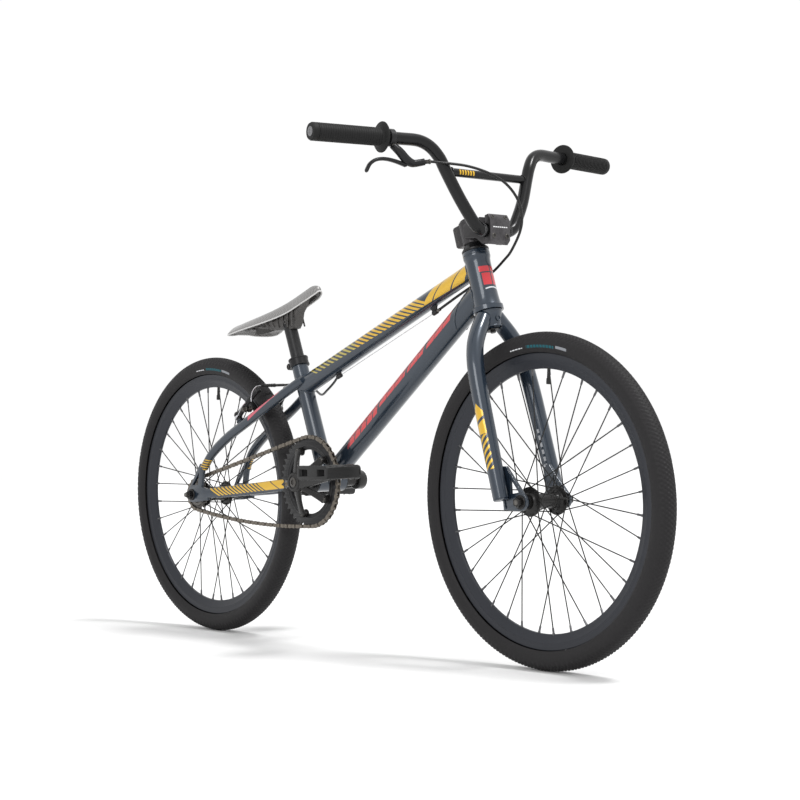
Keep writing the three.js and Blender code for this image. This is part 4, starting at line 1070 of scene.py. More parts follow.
def hub(name, axle, flange, end, body):
    half = [[6, end], [11.4, end], [13, end - 0.8], [13, flange + 4.4], [14.4, flange + 3.2],
            [17, flange + 1.6],
            [25.4, flange + 1.4], [26, flange + 0.8], [26, flange - 0.8], [25.4, flange - 1.4],
            [18.6, flange - 1.6],
            [16.6, flange - 3], [body + 0.4, flange - 9], [body, flange - 12]]
    profile = half + [[r, -y] for r, y in half[::-1]]
    ring = ring_sweep(profile, axle, 64)
    grooves = [ring_sweep([[body + 0.5, y + 1.2], [body + 0.5, y - 1.2], [body - 0.6, y - 1.2],
                           [body - 0.6, y + 1.2]],
                          axle, 64) for y in (-flange + 16, flange - 16)]
    seals = [ring_sweep([[12.2, s * end + s * 0.8], [12.2, s * end - s * 1], [6.2, s * end - s * 1],
                         [6.2, s * end + s * 0.8]], axle, 40) for s in (RIGHT, LEFT)]
    piece(f"{name}_hub_shell", [ring, *grooves], f"{name}_wheel", looks["satin"],
          [f"{name}_hub"])
    piece(f"{name}_hub_seals", seals, f"{name}_wheel", looks["plastic"])


def wheel(name, axle, flange, spacing, body, spans):
    tyre(name, axle, spans)
    rim(name, axle)
    hub(name, axle, flange, spacing / 2 - 5, body)
    for side, label in SIDES:
        spokes(name, axle, side, label, flange)


# ---------------------------------------------------------------------- drivetrain


def pitch_radius(teeth):
    return CHAIN_PITCH / 2 / math.sin(math.pi / teeth)


def toothed(teeth, axle, phase, tip=3.6, root=-3.9):
    pitch = pitch_radius(teeth)
    out = []
    for i in range(teeth):
        base = 2 * math.pi * i / teeth + phase
        step = 2 * math.pi / teeth
        for share, offset in ((-0.5, root), (-0.36, root + 0.4), (-0.2, -0.4), (-0.09, tip - 0.5), (0, tip),
                              (0.09, tip - 0.5), (0.2, -0.4), (0.36, root + 0.4)):
            turn = base + (share + 0.5) * step
            out.append((axle.x + (pitch + offset) * math.cos(turn),
                        axle.z + (pitch + offset) * math.sin(turn)))
    return out


def chain_path():
    """The chain's pitch line, clockwise seen from the right, as points a fraction of a millimetre apart."""
    ring, cog = pitch_radius(RING_TEETH), pitch_radius(COG_TEETH)
    slope = math.atan2(BRACKET.z - REAR_AXLE.z, BRACKET.x - REAR_AXLE.x)
    span = (BRACKET - REAR_AXLE).length
    lean = math.asin((ring - cog) / span)
    top, bottom = slope + math.pi / 2 + lean, slope - math.pi / 2 - lean
    points = []
    for i in range(400):
        turn = top + (bottom - top) * i / 400
        points.append((BRACKET.x + ring * math.cos(turn), BRACKET.z + ring * math.sin(turn)))
    x0, z0 = BRACKET.x + ring * math.cos(bottom), BRACKET.z + ring * math.sin(bottom)
    x1, z1 = REAR_AXLE.x + cog * math.cos(bottom), REAR_AXLE.z + cog * math.sin(bottom)
    for i in range(400):
        t = i / 400
        points.append((x0 + (x1 - x0) * t, z0 + (z1 - z0) * t - 40 * t * (1 - t)))
    start = bottom + 2 * math.pi
    for i in range(200):
        turn = start + (top - start) * i / 200
        points.append((REAR_AXLE.x + cog * math.cos(turn), REAR_AXLE.z + cog * math.sin(turn)))
    x0, z0 = REAR_AXLE.x + cog * math.cos(top), REAR_AXLE.z + cog * math.sin(top)
    x1, z1 = BRACKET.x + ring * math.cos(top), BRACKET.z + ring * math.sin(top)
    for i in range(400):
        t = i / 400
        points.append((x0 + (x1 - x0) * t, z0 + (z1 - z0) * t))
    return points


def link_outline(a, b, half):
    """A figure-of-eight side plate between two pins."""
    direction = V(b[0] - a[0], 0, b[1] - a[1]).normalized()
    angle = math.degrees(math.atan2(direction.z, direction.x))
    first = arc(a[0], a[1], half, angle + 65, angle + 295, 8)
    second = arc(b[0], b[1], half, angle - 115, angle + 115, 8)
    mid = ((a[0] + b[0]) / 2, (a[1] + b[1]) / 2)
    waist = half * 0.78
    low = (mid[0] + direction.z * waist, mid[1] - direction.x * waist)
    high = (mid[0] - direction.z * waist, mid[1] + direction.x * waist)
    return first + [low] + second + [high]


def slab(outline, y_low, y_high):
    count = len(outline)
    verts = [V(x, y_low, z) for x, z in outline] + [V(x, y_high, z) for x, z in outline]
    faces = [tuple(range(count)), tuple(range(count, 2 * count))[::-1]]
    for k in range(count):
        n = (k + 1) % count
        faces.append((k, k + count, n + count, n))
    return verts, faces


def chain():
    points = chain_path()
    lengths = [0.0]
    looped = points + points[:1]
    for (x0, z0), (x1, z1) in zip(looped, looped[1:]):
        lengths.append(lengths[-1] + math.hypot(x1 - x0, z1 - z0))
    pins, j = [], 0
    for i in range(CHAIN_LINKS):
        target = lengths[-1] * i / CHAIN_LINKS
        while lengths[j + 1] < target:
            j += 1
        f = (target - lengths[j]) / (lengths[j + 1] - lengths[j])
        (x0, z0), (x1, z1) = looped[j], looped[j + 1]
        pins.append((x0 + (x1 - x0) * f, z0 + (z1 - z0) * f))
    plates, rollers = [], []
    for i, a in enumerate(pins):
        b = pins[(i + 1) % CHAIN_LINKS]
        outer = i % 2 == 0
        low = 3.0 if outer else 1.75
        outline = link_outline(a, b, 3.9 if outer else 3.7)
        for side in (RIGHT, LEFT):
            y = sorted((-CHAIN_LINE + side * low, -CHAIN_LINE + side * (low + 1.0)))
            plates.append(slab(outline, *y))
        centre = V(a[0], -CHAIN_LINE, a[1])
        rollers.append(rod(centre + V(0, -1.7, 0), centre + V(0, 1.7, 0), 3.6, 3.6, 12))
        rollers.append(rod(centre + V(0, -4.2, 0), centre + V(0, 4.2, 0), 1.7, 1.7, 8))
    piece("chain_links", [*plates, *rollers], "frame", looks["chain"], ["chain"], angle=30)


def bolt_point(i, y):
    turn = math.radians(40.6 + 72 * i)
    return V(BRACKET.x + BOLT_CIRCLE * math.cos(turn), y, BRACKET.z + BOLT_CIRCLE * math.sin(turn))


def crank_tip(side, y):
    return V(BRACKET.x - side * CRANK_LENGTH * math.cos(CRANK_ANGLE), y,
             BRACKET.z - side * CRANK_LENGTH * math.sin(CRANK_ANGLE))


def crank_arm(side):
    start = V(BRACKET.x, side * 80.5, BRACKET.z)
    tip = crank_tip(side, side * 86.5)
    path, radii = [], []
    for i in range(26):
        t = i / 25
        p = start.lerp(tip, t)
        p.y = side * (80.5 + 6 * (t ** 1.6))
        path.append(p)
        radii.append((5.6 + 0.8 * (1 - t), 15.5 - 5.2 * min(1, t / 0.6) + 1.6 * max(0, (t - 0.75) / 0.25)))
    arm = sweep(path, radii, 32, power=3.2)
    boss_profile = [[0, 68], [17, 68], [19, 70], [19, 85.5], [17.4, 88], [13, 88.4], [12.4, 87.2], [0, 87.2]]
    boss = turned(boss_profile, V(BRACKET.x, 0, BRACKET.z), V(BRACKET.x, side, BRACKET.z), 48)
    tip0 = crank_tip(side, 0)
    eye_profile = [[0, 79.5], [13.4, 79.5], [14.4, 80.6], [14.4, 92.4], [13.4, 93.4], [7.6, 93.4],
                   [7.2, 92.8],
                   [0, 92.8]]
    eye = turned(eye_profile, tip0, tip0 + V(0, side, 0), 44)
    cap = turned([[0, 87], [9.5, 87], [9.5, 88.2], [8.6, 88.8], [5, 88.8, "hex"], [4.6, 87.4, "hex"],
                  [0, 87.3]],
                 V(BRACKET.x, 0, BRACKET.z), V(BRACKET.x, side, BRACKET.z), 36)
    return [arm, boss, eye], cap


def crankset():
    left, left_cap = crank_arm(LEFT)
    spindle = rod(BRACKET + V(0, -66, 0), BRACKET + V(0, 72, 0), 11.9, 11.9, 40)
    piece("crank_left_arm", [*left, spindle], "crankset", looks["satin"], ["crank_left"])
    right, right_cap = crank_arm(RIGHT)
    spider = []
    for i in range(5):
        bolt = bolt_point(i, 0)
        centre = V(BRACKET.x, 0, BRACKET.z)
        path, radii = [], []
        for k in range(14):
            t = k / 13
            p = centre.lerp(bolt, 0.16 + 0.84 * t)
            p.y = -75 + 20.5 * (t ** 1.25)
            path.append(p)
            radii.append((4.6 - 1.2 * t, 10.5 - 4.2 * math.sin(math.pi * min(1, t * 0.8)) + 1.2 * t))
        spider.append(sweep(path, radii, 20, first_side=Y_AXIS, power=2.8))
        spider.append(rod(bolt_point(i, -46.9), bolt_point(i, -56.4), 8.0, 7.4, 28))
    piece("crank_right_arm", [*right, *spider], "crankset", looks["satin"], ["crank_right"])
    piece("crank_caps", [left_cap, right_cap], "crankset", looks["dark_steel"])

    outline = toothed(RING_TEETH, BRACKET, 0.0)
    hole = arc(BRACKET.x, BRACKET.z, BOLT_CIRCLE - 1.5, 0, 357, 119)
    y0 = -CHAIN_LINE - 1.6
    disc = flat(outline, y0, y0 + 3.2, [hole], 0.35)
    tabs = [flat(arc(bolt_point(i, 0).x, bolt_point(i, 0).z, 8.5, 0, 350, 27), y0, y0 + 3.2, (),
                 0.35) for i in range(5)]
    lip = ring_sweep([[70.5, y0 - 0.3], [71.5, y0 + 0.2], [73, y0 - 0.3], [72, y0 - 0.7]], BRACKET, 120)
    piece("chainring_disc", [disc, *tabs, lip], "crankset", looks["black"], ["chainring"],
          angle=30)
    bolts = [bolt_head(bolt_point(i, -56.0), V(0, -1, 0), 5.2, 1.6) for i in range(5)]
    bolts += [bolt_head(bolt_point(i, y0 + 3.0), V(0, 1, 0), 5.6, 1.4) for i in range(5)]
    piece("chainring_bolts", bolts, "crankset", looks["dark_steel"])

    cog = flat(toothed(COG_TEETH, REAR_AXLE, 0.1), -46.5, -43.6,
               [arc(REAR_AXLE.x, REAR_AXLE.z, 18, 0, 352, 45)], 0.3)
    body = ring_sweep([[18, -37.8], [23.4, -37.8], [24, -38.4], [24, -44], [18, -44]], REAR_AXLE, 48)
    lock = ring_sweep([[18, -46.4], [25, -46.4], [24, -48.2], [18, -48.2]], REAR_AXLE, 48)
    piece("freewheel_body", [cog, body, lock], "freewheel", looks["dark_steel"],
          ["freewheel_cog"])


PEDAL_LENGTH, PEDAL_THICKNESS, PEDAL_INNER, PEDAL_OUTER = 94.0, 27.0, 96.5, 177.0


def pedal(side, name):
    tip = crank_tip(side, 0)
    shaft = turned([[0, 93.9], [8.2, 93.9, "hex"], [8.2, 96, "hex"], [6, 96.4], [5, 170], [0, 170.6]], tip,
                   tip + V(0, side, 0), 36)
    piece(f"pedal_axle_{name}_shaft", shaft, "crankset", looks["dark_steel"],
          [f"pedal_axle_{name}"])
    half_l, half_t = PEDAL_LENGTH / 2, PEDAL_THICKNESS / 2
    low, high = sorted((side * PEDAL_INNER, side * PEDAL_OUTER))
    parts = []
    outline = []
    for sx, sz, begin in ((1, 1, 0), (-1, 1, 90), (-1, -1, 180), (1, -1, 270)):
        outline += arc(tip.x + sx * (half_l - 11), tip.z + sz * (half_t - 9), 9, begin, begin + 90, 6)
    outline = [(tip.x + (x - tip.x) * (half_l - 0.2) / (half_l - 2.0), z) for x, z in outline]
    wall = 7.0
    windows = []
    for end in (-1, 1):
        x0, x1 = sorted((tip.x + end * 15, tip.x + end * (half_l - 9)))
        windows.append([(x0, tip.z - 6), (x1, tip.z - 6), (x1, tip.z + 6), (x0, tip.z + 6)])
    for y0, y1 in ((low, low + wall), (high - wall, high)):
        parts.append(flat(outline, y0, y1, windows, 1.6))
    for end in (-1, 1):
        rail = []
        for sx, sz, begin in ((1, 1, 0), (-1, 1, 90), (-1, -1, 180), (1, -1, 270)):
            rail += arc(tip.x + end * (half_l - 6.5) + sx * 3.0, tip.z + sz * (half_t - 5.0), 3.2, begin,
                        begin + 90, 4)
        parts.append(flat(rail, low + 2, high - 2, (), 0.8))
        cross = [(tip.x + end * 12, tip.z - half_t + 2.5), (tip.x + end * 16.5, tip.z - half_t + 2.5),
                 (tip.x + end * 16.5, tip.z + half_t - 2.5), (tip.x + end * 12, tip.z + half_t - 2.5)]
        parts.append(flat(cross, low + 2, high - 2, (), 0.8))
        middle = (low + high) / 2
        parts.append(flat([(tip.x + end * 12, tip.z - 9), (tip.x + end * (half_l - 4), tip.z - 9),
                           (tip.x + end * (half_l - 4), tip.z + 9), (tip.x + end * 12, tip.z + 9)],
                          middle - 3, middle + 3, (), 1.0))
    parts.append(turned([[6.4, 0], [12.5, 0], [13, 0.6], [13, 79.6], [12.5, 80.3], [0, 80.3], [0, 75],
                         [6.4, 75]],
                        V(tip.x, side * PEDAL_INNER, tip.z), V(tip.x, side * PEDAL_OUTER, tip.z), 36))
    ridges = []
    for face in (-1, 1):
        for end in (-1, 1):
            for k in range(5):
                y = low + 12 + k * (high - low - 24) / 4
                foot = V(tip.x + end * (half_l - 6.5), y, tip.z + face * (half_t - 2.8))
                ridges.append(turned([[0, -1], [1.9, -1], [1.9, 1.6], [1.3, 2.7], [0, 2.7]], foot,
                                     foot + V(0, 0, face), 12))
    piece(f"pedal_{name}_cage", parts, f"pedal_{name}", looks["plastic"], [f"pedal_{name}"])
    piece(f"pedal_{name}_studs", ridges, f"pedal_{name}", looks["plastic"])


# ---------------------------------------------------------------- fork, stem, bars

LEG_BEND = [(-6, 12), (-22, 24), (-42, 39), (-66, 52), (-100, 61), (-150, 65)]
LEG_BOTTOM = (-345, 70)


def fork():
    steerer = rod(steering(-4), steering(STEM_TOP - 6), 14.3, 14.3, 40)
    crown_profile = [[0, -34], [9, -34], [12, -33], [16.2, -31], [17.8, -26], [19.6, -16], [22.6, -6],
                     [24.4, -2],
                     [24.6, -1], [14, -0.8], [0, -0.8]]
    crown = turned([[r, s + 34] for r, s in crown_profile], steering(-34), steering(0), 56)
    hole = turned([[0, 0], [5.6, 0], [5.6, 1.2], [4.0, 1.4], [3.6, -1.0], [0, -1.2]],
                  steering(-18) + V(19.0, 0, 5.2), steering(-18) + V(20.0, 0, 5.4), 24)
    piece("fork_crown_skin", [steerer, crown, hole], "steering", looks["paint"],
          ["fork_crown"])
    for side, name in SIDES:
        points = [steering(s, side * y) for s, y in LEG_BEND]
        s_end, y_end = LEG_BOTTOM
        knee = steering(LEG_BEND[-1][0], side * LEG_BEND[-1][1])
        foot = steering(s_end, side * y_end)
        points += [knee.lerp(foot, t) for t in (0.25, 0.5, 0.75, 1.0)]
        path = smooth(points, 70)
        radii = []
        for i in range(70):
            t = i / 69
            radii.append(15.3 - 1.4 * max(0.0, (t - 0.5) / 0.5))
        radii[0] = 12.0
        leg = sweep(path, radii, 40)
        cap = turned([[0, 0], [13.6, 0], [12.8, 2.2], [9.5, 3.2], [0, 3.6]], foot, foot - UP_STEERING, 40)
        x, z = FRONT_AXLE.x, FRONT_AXLE.z
        outline = [(x - 42, z - 14), (x - 28, z - 15)] + arc(x, z, 15, -100, 50, 16) + [(x - 34, z + 62),
                                                                                        (x - 49, z + 62)]
        window = [(x - 24, z + 14), (x - 4, z + 17), (x - 25, z + 42)]
        slot = [(x - 3, z - 5.4)] + arc(x, z, 5.4, -60, 240, 16)
        low, high = (-56.5, -50) if side == RIGHT else (50, 56.5)
        end = flat(outline, low, high, [window, slot], 0.8)
        bead = smooth([V(x - 47, side * 57.2, z + 62), V(x - 44, side * 57.4, z + 40),
                       V(x - 40, side * 57.4, z + 14),
                       V(x - 36, side * 57, z - 12)], 40)
        seam = sweep(bead, [1.4 * (1 + 0.2 * math.sin(i * 1.9)) for i in range(40)], 8)
        piece(f"fork_leg_{name}_skin", [leg, cap, end, seam], "steering", looks[f"fork_{name}"],
              [f"fork_leg_{name}"])
    rings = [ring_bead(steering(-30), 17.6, 1.5), ring_bead(steering(-1.4), 24.2, 0.8)]
    piece("fork_beads", rings, "steering", looks["paint"])
    plug = turned([[0, 0], [12, 0], [12, 1.5], [5, 2], [5, 5.5], [0, 5.5]], steering(-34), steering(-40), 32)
    piece("fork_plug", plug, "steering", looks["plastic"])


def ring_bead(centre, radius, size):
    side = Y_AXIS
    up = UP_STEERING.cross(side)
    turns = [2 * math.pi * i / 72 for i in range(72)]
    path = [centre + side * radius * math.cos(turn) + up * radius * math.sin(turn) for turn in turns]
    return sweep(path, [size * (1 + 0.12 * math.sin(i * 1.9)) for i in range(72)], 8, closed=True)


BAR_CENTRE = V(391, 0, 777)


def stem():
    cover = turned([[14.8, 0], [24.4, 0], [25, 0.6], [25, 3.4], [24.2, 4.2], [20, 9.5], [18.4, 12.5],
                    [18, 14],
                    [14.8, 14]], steering(HEAD_LENGTH + 0.6), steering(HEAD_LENGTH + 40), 56)
    piece("headset_cover_ring", cover, "steering", looks["black"], ["headset_cover"])
    length = STEM_TOP - 4 - HEAD_LENGTH - 15
    collar = turned([[14.7, 0], [19.2, 0], [20, 0.8], [20, length - 0.8], [19.2, length], [14.7, length]],
                    steering(HEAD_LENGTH + 15), steering(STEM_TOP - 4), 56)
    axis_x = steering(HEAD_LENGTH + 36).x
    x, z = BAR_CENTRE.x, BAR_CENTRE.z
    reach = [(axis_x + 4, 767), (x - 24, 765), (x - 8, 753), (x - 1, 754.5)]
    reach += arc(x, z, 11.8, 265, 100, 12)
    reach += [(x - 1, 800), (x - 14, 802), (axis_x + 4, 792)]
    arms = [flat(reach, -24.4, -9, (), 1.4), flat(reach, 9, 24.4, (), 1.4)]
    core = flat([(axis_x + 6, 770), (x - 26, 768), (x - 13.5, 762), (x - 13.5, 792), (axis_x + 6, 788)], -18,
                18, (), 1.2)

    def rear(low, high):
        tilt = math.radians(15.8)
        c, s = math.cos(tilt), math.sin(tilt)
        centre = steering(HEAD_LENGTH + 36) + V(-20, 0, -5)
        loop = [(centre.x + u * c - w * s, centre.z + u * s + w * c)
                for u, w in ((-10, -17), (-7, -20), (10, -20), (10, 20), (-7, 20), (-10, 17))]
        return flat(loop, low, high, (), 1.2)

    block = [rear(-15, -1.1), rear(1.1, 15)]
    piece("stem_body", [collar, *arms, core, *block], "steering", looks["stem"], ["stem"])

    face = [(x - 0.6, z - 22.6), (x + 7.6, z - 25.6), (x + 14.8, z - 18), (x + 14.8, z + 18),
            (x + 8, z + 28.6),
            (x - 0.6, z + 26.6)] + arc(x, z, 11.8, 93, -93, 14)
    plate = flat(face, -24.4, 24.4, (), 1.3)
    piece("stem_face", plate, "steering", looks["stem"], ["stem_face_plate"])
    bolts = []
    for y in (-16, 16):
        bolts.append(bolt_head(V(x + 11.2, y, z + 23.0), V(0.85, 0, 0.53), 4.0, 1.6))
        bolts.append(bolt_head(V(x + 14.6, y, z - 10.5), V(1, 0, 0), 4.6, 1.4))
    tilt_up = V(-math.sin(math.radians(15.8)), 0, math.cos(math.radians(15.8)))
    centre = steering(HEAD_LENGTH + 36) + V(-20, 0, -5)
    for w in (-11, 11):
        for side in (RIGHT, LEFT):
            bolts.append(bolt_head(centre + tilt_up * w + V(-3, side * 13.6, 0), V(0, side, 0), 3.3, 1.6))
    piece("stem_bolts", bolts, "steering", looks["dark_steel"])
    cap = turned([[0, 0], [16.4, 0], [17, 0.6], [17, 2.6], [14.4, 4.4], [4.4, 4.4], [4.2, 3.2, "hex"],
                  [3.0, 3.0, "hex"], [2.8, 1.4, "hex"], [0, 1.2]], steering(STEM_TOP - 3.5),
                  steering(STEM_TOP + 40), 48)
    piece("top_cap_disc", cap, "steering", looks["black"], ["top_cap"])
    marks = []
    for k in range(7):
        y = -17.5 + k * 5.1
        marks.append(flat([(y, 0), (y + 3.9, 0), (y + 3.9, 1.8), (y, 1.8)], 0, 0.5, (), 0.08,
                          lambda v: V(x + 14.35 + v.y, v.x, z + 4.2 + v.z)))
    piece("stem_mark", marks, "steering", looks["white_mark"])


BAR_POINTS = [(0, 391, 777), (22, 391, 777), (34, 391, 777.6), (46, 391, 784), (56, 389, 797), (79, 383, 834),
              (100, 374, 878), (111, 370, 901), (127, 364, 920), (150, 359, 929.5), (185, 353, 930.5),
              (225, 347, 930.5)]
GRIP_FROM, GRIP_TO = 222.0, 362.0


def on_grip(y, side):
    t = (y - 225) / 137
    return V(347 + (325 - 347) * t, side * y, 930.5)


def bars():
    half = [V(x, y, z) for y, x, z in BAR_POINTS]
    ends = [on_grip(300, LEFT), on_grip(358, LEFT)]
    right = [V(p.x, -p.y, p.z) for p in (half[1:] + ends)[::-1]]
    path = smooth(right + half + ends, 220)
    tube = sweep(path, BAR_RADIUS - 0.05, 36)
    cross = rod(V(374, -97, 877.5), V(374, 97, 877.5), 7.5, 7.5, 32)
    beads = []
    for side in (RIGHT, LEFT):
        path = []
        centre = V(374, side * 89.5, 877.5)
        for i in range(48):
            turn = 2 * math.pi * i / 48
            dy = 4.2 * math.sin(turn)
            path.append(centre + V(7.9 * math.cos(turn), -side * (dy * 0.42), 7.9 * math.sin(turn)))
        beads.append(sweep(path, 1.3, 8, closed=True))
    piece("bar_tube", [tube, cross, *beads], "steering", looks["bar"], ["handlebar"])
    knurl = [ring_y(V(391, 0, 777), BAR_RADIUS + 0.12, y) for y in (-33, -30, 30, 33)]
    piece("bar_marks", knurl, "steering", looks["plug"])
    marks = []
    for k in range(6):
        y = -74 + k * 6.4
        path = [V(374 + 7.62 * math.cos(a), y + 2.6, 877.5 + 7.62 * math.sin(a)) for a in
                (math.radians(d) for d in range(-30, 41, 10))]
        marks.append(sweep(path, (0.12, 2.0), 6, first_side=V(1, 0, 0)))
    piece("crossbar_mark", marks, "steering", looks["yellow_mark"])


def ring_y(centre, radius, y):
    path = [centre + V(radius * math.cos(2 * math.pi * i / 40), y, radius * math.sin(2 * math.pi * i / 40))
            for i in range(40)]
    return sweep(path, 0.3, 6, closed=True)


def grips():
    for side, name in SIDES:
        start, end = on_grip(GRIP_FROM, side), on_grip(GRIP_TO, side)
        length = (end - start).length
        profile = [[11.8, 0], [25.8, 0], [27, 1.0], [27, 2.6], [26, 3.6], [19, 5.2], [16, 7.0]]
        s = 8.5
        while s < length - 12:
            profile += [[14.9, s], [14.7, s + 1.0], [16.0, s + 1.5], [16.0, s + 3.3]]
            s += 4.6
        profile += [[15.2, length - 11], [15.9, length - 9], [15.9, length - 2], [14.4, length + 0.6],
                    [8.6, length + 0.8], [8.6, length - 4], [11.8, length - 4]]
        piece(f"grip_{name}_sleeve", turned(profile, start, end, 56), "steering", looks["grip"],
              [f"grip_{name}"], angle=50)
        plug = turned([[0, length - 4], [8.4, length - 4], [8.4, length + 1.2], [7.4, length + 1.8],
                       [4, length + 1.8], [3.4, length + 1.0], [0, length + 1.0]], start, end, 40)
        piece(f"grip_{name}_plug", plug, "steering", looks["plug"])


LEVER_PIVOT = V(358, -180, 884)


def lever():
    centre = on_grip(207, RIGHT)
    half = (on_grip(212.5, RIGHT) - centre)
    collar = turned([[11.7, 0], [14.8, 0], [15.5, 0.8], [15.5, 10.2], [14.8, 11], [11.7, 11]], centre - half,
                    centre + half, 44)
    body_path = smooth([centre + V(4, 1, -13), V(361, -196, 906), V(362, -181, 893), V(363, -168, 887.5),
                        V(368, -157, 888.6), V(373, -148.5, 890.6)], 30)
    radii = [(5.2 + 2.6 * math.sin(math.pi * min(1, i / 22)),
              6.2 + 1.4 * math.sin(math.pi * i / 29)) for i in range(30)]
    body = sweep(body_path, radii, 24, power=2.6)
    piece("lever_clamp", [collar, body], "steering", looks["black"], ["lever_bracket"])
    barrel_a, barrel_b = V(370.5, -153.5, 889.6), V(377.6, -139, 891.2)
    length = (barrel_b - barrel_a).length
    profile = [[0, 0], [3.2, 0]]
    s = 1.5
    while s < length - 3:
        profile += [[3.9, s], [3.4, s + 0.7]]
        s += 1.5
    profile += [[4.6, length - 2.8], [4.6, length - 0.6], [4.0, length], [0, length]]
    barrel = turned(profile, barrel_a, barrel_b, 24)
    clamp_bolt = bolt_head(centre + V(8, 0, -13), V(0.8, 0, -0.6), 3.0, 2.4)
    pivot = [bolt_head(LEVER_PIVOT + V(1.5, 1, 6.2), V(0.26, 0, 0.96), 3.6, 1.6)]
    piece("lever_hardware", [barrel, clamp_bolt, *pivot], "steering", looks["dark_steel"])

    blade_path = smooth([LEVER_PIVOT + V(0, 2, -0.6), V(357.5, -192, 886.8), V(357, -205, 889.4),
                         V(356.8, -220, 891.0), V(356.3, -234, 890.6), V(354.6, -246, 887.6),
                         V(352.6, -255.5, 881),
                         V(351, -260.5, 872.5), V(350.2, -263, 866)], 48)
    blade_radii = []
    for i in range(48):
        t = i / 47
        blade_radii.append((3.6 - 0.6 * t, 5.2 - 0.6 * math.sin(math.pi * t)))
    blade_radii[0] = (2.2, 3.4)
    blade_radii[-1] = (1.6, 2.6)
    blade_radii[-2] = (2.7, 4.4)
    blade = sweep(blade_path, blade_radii, 24, first_side=V(0, 0, 1), power=2.4)
    piece("lever_blade", blade, "brake_lever", looks["black"], ["brake_lever"])


# --------------------------------------------------------------------- rear brake

HOUSING = [V(374.4, -145, 891.6), V(382, -120, 890.5), V(400, -71, 886), V(417.5, -30, 872.5),
           V(430.5, -4, 853.5),
           V(438, 14, 827), V(436.5, 24, 799), V(425.5, 29, 773), V(400, 32, 742.5), V(381.5, 32.5, 728),
           V(348.5, 31.5, 706.5), V(313, 22, 688), V(275, 9, 666), V(234.2, 0, 643.8)]
FRONT_STOP, REAR_STOP = V(227.4, 0, 641.2), V(-61, 0, 533.5)
WIRE = (FRONT_STOP - REAR_STOP).normalized()
DOWN = V(WIRE.z, 0, -WIRE.x)


def cables():
    housing = piece("housing_front", sweep(smooth(HOUSING, 150), 2.45, 16), None, looks["cable"],
                    ["brake_housing_front"])
    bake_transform(housing)
    front_end = FRONT_STOP + WIRE * 6.4
    tip = turned([[2.6, 0], [3.1, 0.4], [3.1, 8], [2.6, 8.6]], front_end, front_end + WIRE, 20)
    stops = []
    for stop in (FRONT_STOP, REAR_STOP):
        a, b = stop - WIRE * 6, stop + WIRE * 6
        stops.append(turned([[1.2, 0], [4.1, 0], [4.6, 0.5], [4.6, 11.5], [4.1, 12], [1.2, 12]], a, b, 28))
        foot = stop + DOWN * 1
        stops.append(sweep([foot, foot - DOWN * 8, foot - DOWN * 14], [(3.0, 5.6), (3.2, 7.6), (4.6, 11.5)],
                           20,
                           power=2.6))
    piece("cable_stops", stops, "frame", looks["black"])
    strand = sweep([REAR_STOP + WIRE * 6.3, FRONT_STOP - WIRE * 6.3], 0.75, 10)
    piece("bare_wire", strand, "frame", looks["steel"], ["brake_wire"])
    rear_path = [REAR_STOP - WIRE * 7.2, V(-95, 12, 521), V(-135, 27, 508), V(-176, 44, 500),
                 V(-225, 62, 514),
                 V(-262, 66, 521), V(-285, 58, 524), V(-287, 44, 524), V(-286.5, 30, 523.3)]
    housing_rear = sweep(smooth(rear_path, 110), 2.45, 16)
    piece("housing_rear", housing_rear, "frame", looks["cable"], ["brake_housing_rear"])
    boot_profile = [[1.4, 0], [3.0, 0.5]]
    for k in range(8):
        boot_profile += [[4.1 - 0.12 * k, 3 + 4.4 * k], [3.0, 5.4 + 4.4 * k]]
    boot_profile += [[2.2, 39], [1.2, 40]]
    boot = turned(boot_profile, V(-285.8, 10, 522.8), V(-284.4, -30, 522.0), 24)
    noodle = sweep(smooth([V(-286.5, 31, 523.4), V(-286.2, 20, 523.1), V(-285.8, 9, 522.8)], 8), 2.9, 16)
    piece("brake_boot", [boot, noodle], "frame", looks["plastic"])
    cross_wire = sweep([V(-284.6, -28, 522.0), V(-284.4, -36, 521.6)], 0.8, 10)
    tail = smooth([V(-284.4, -35, 521.6), V(-284.8, -39, 521.2), V(-286.5, -43, 518), V(-290.5, -47, 510),
                   V(-292.5, -49, 498), V(-291, -50, 489)], 40)
    piece("wire_tail", [cross_wire, sweep(tail, 0.8, 10)], "frame", looks["steel"])
    piece("housing_tip", [tip], "frame", looks["dark_steel"])


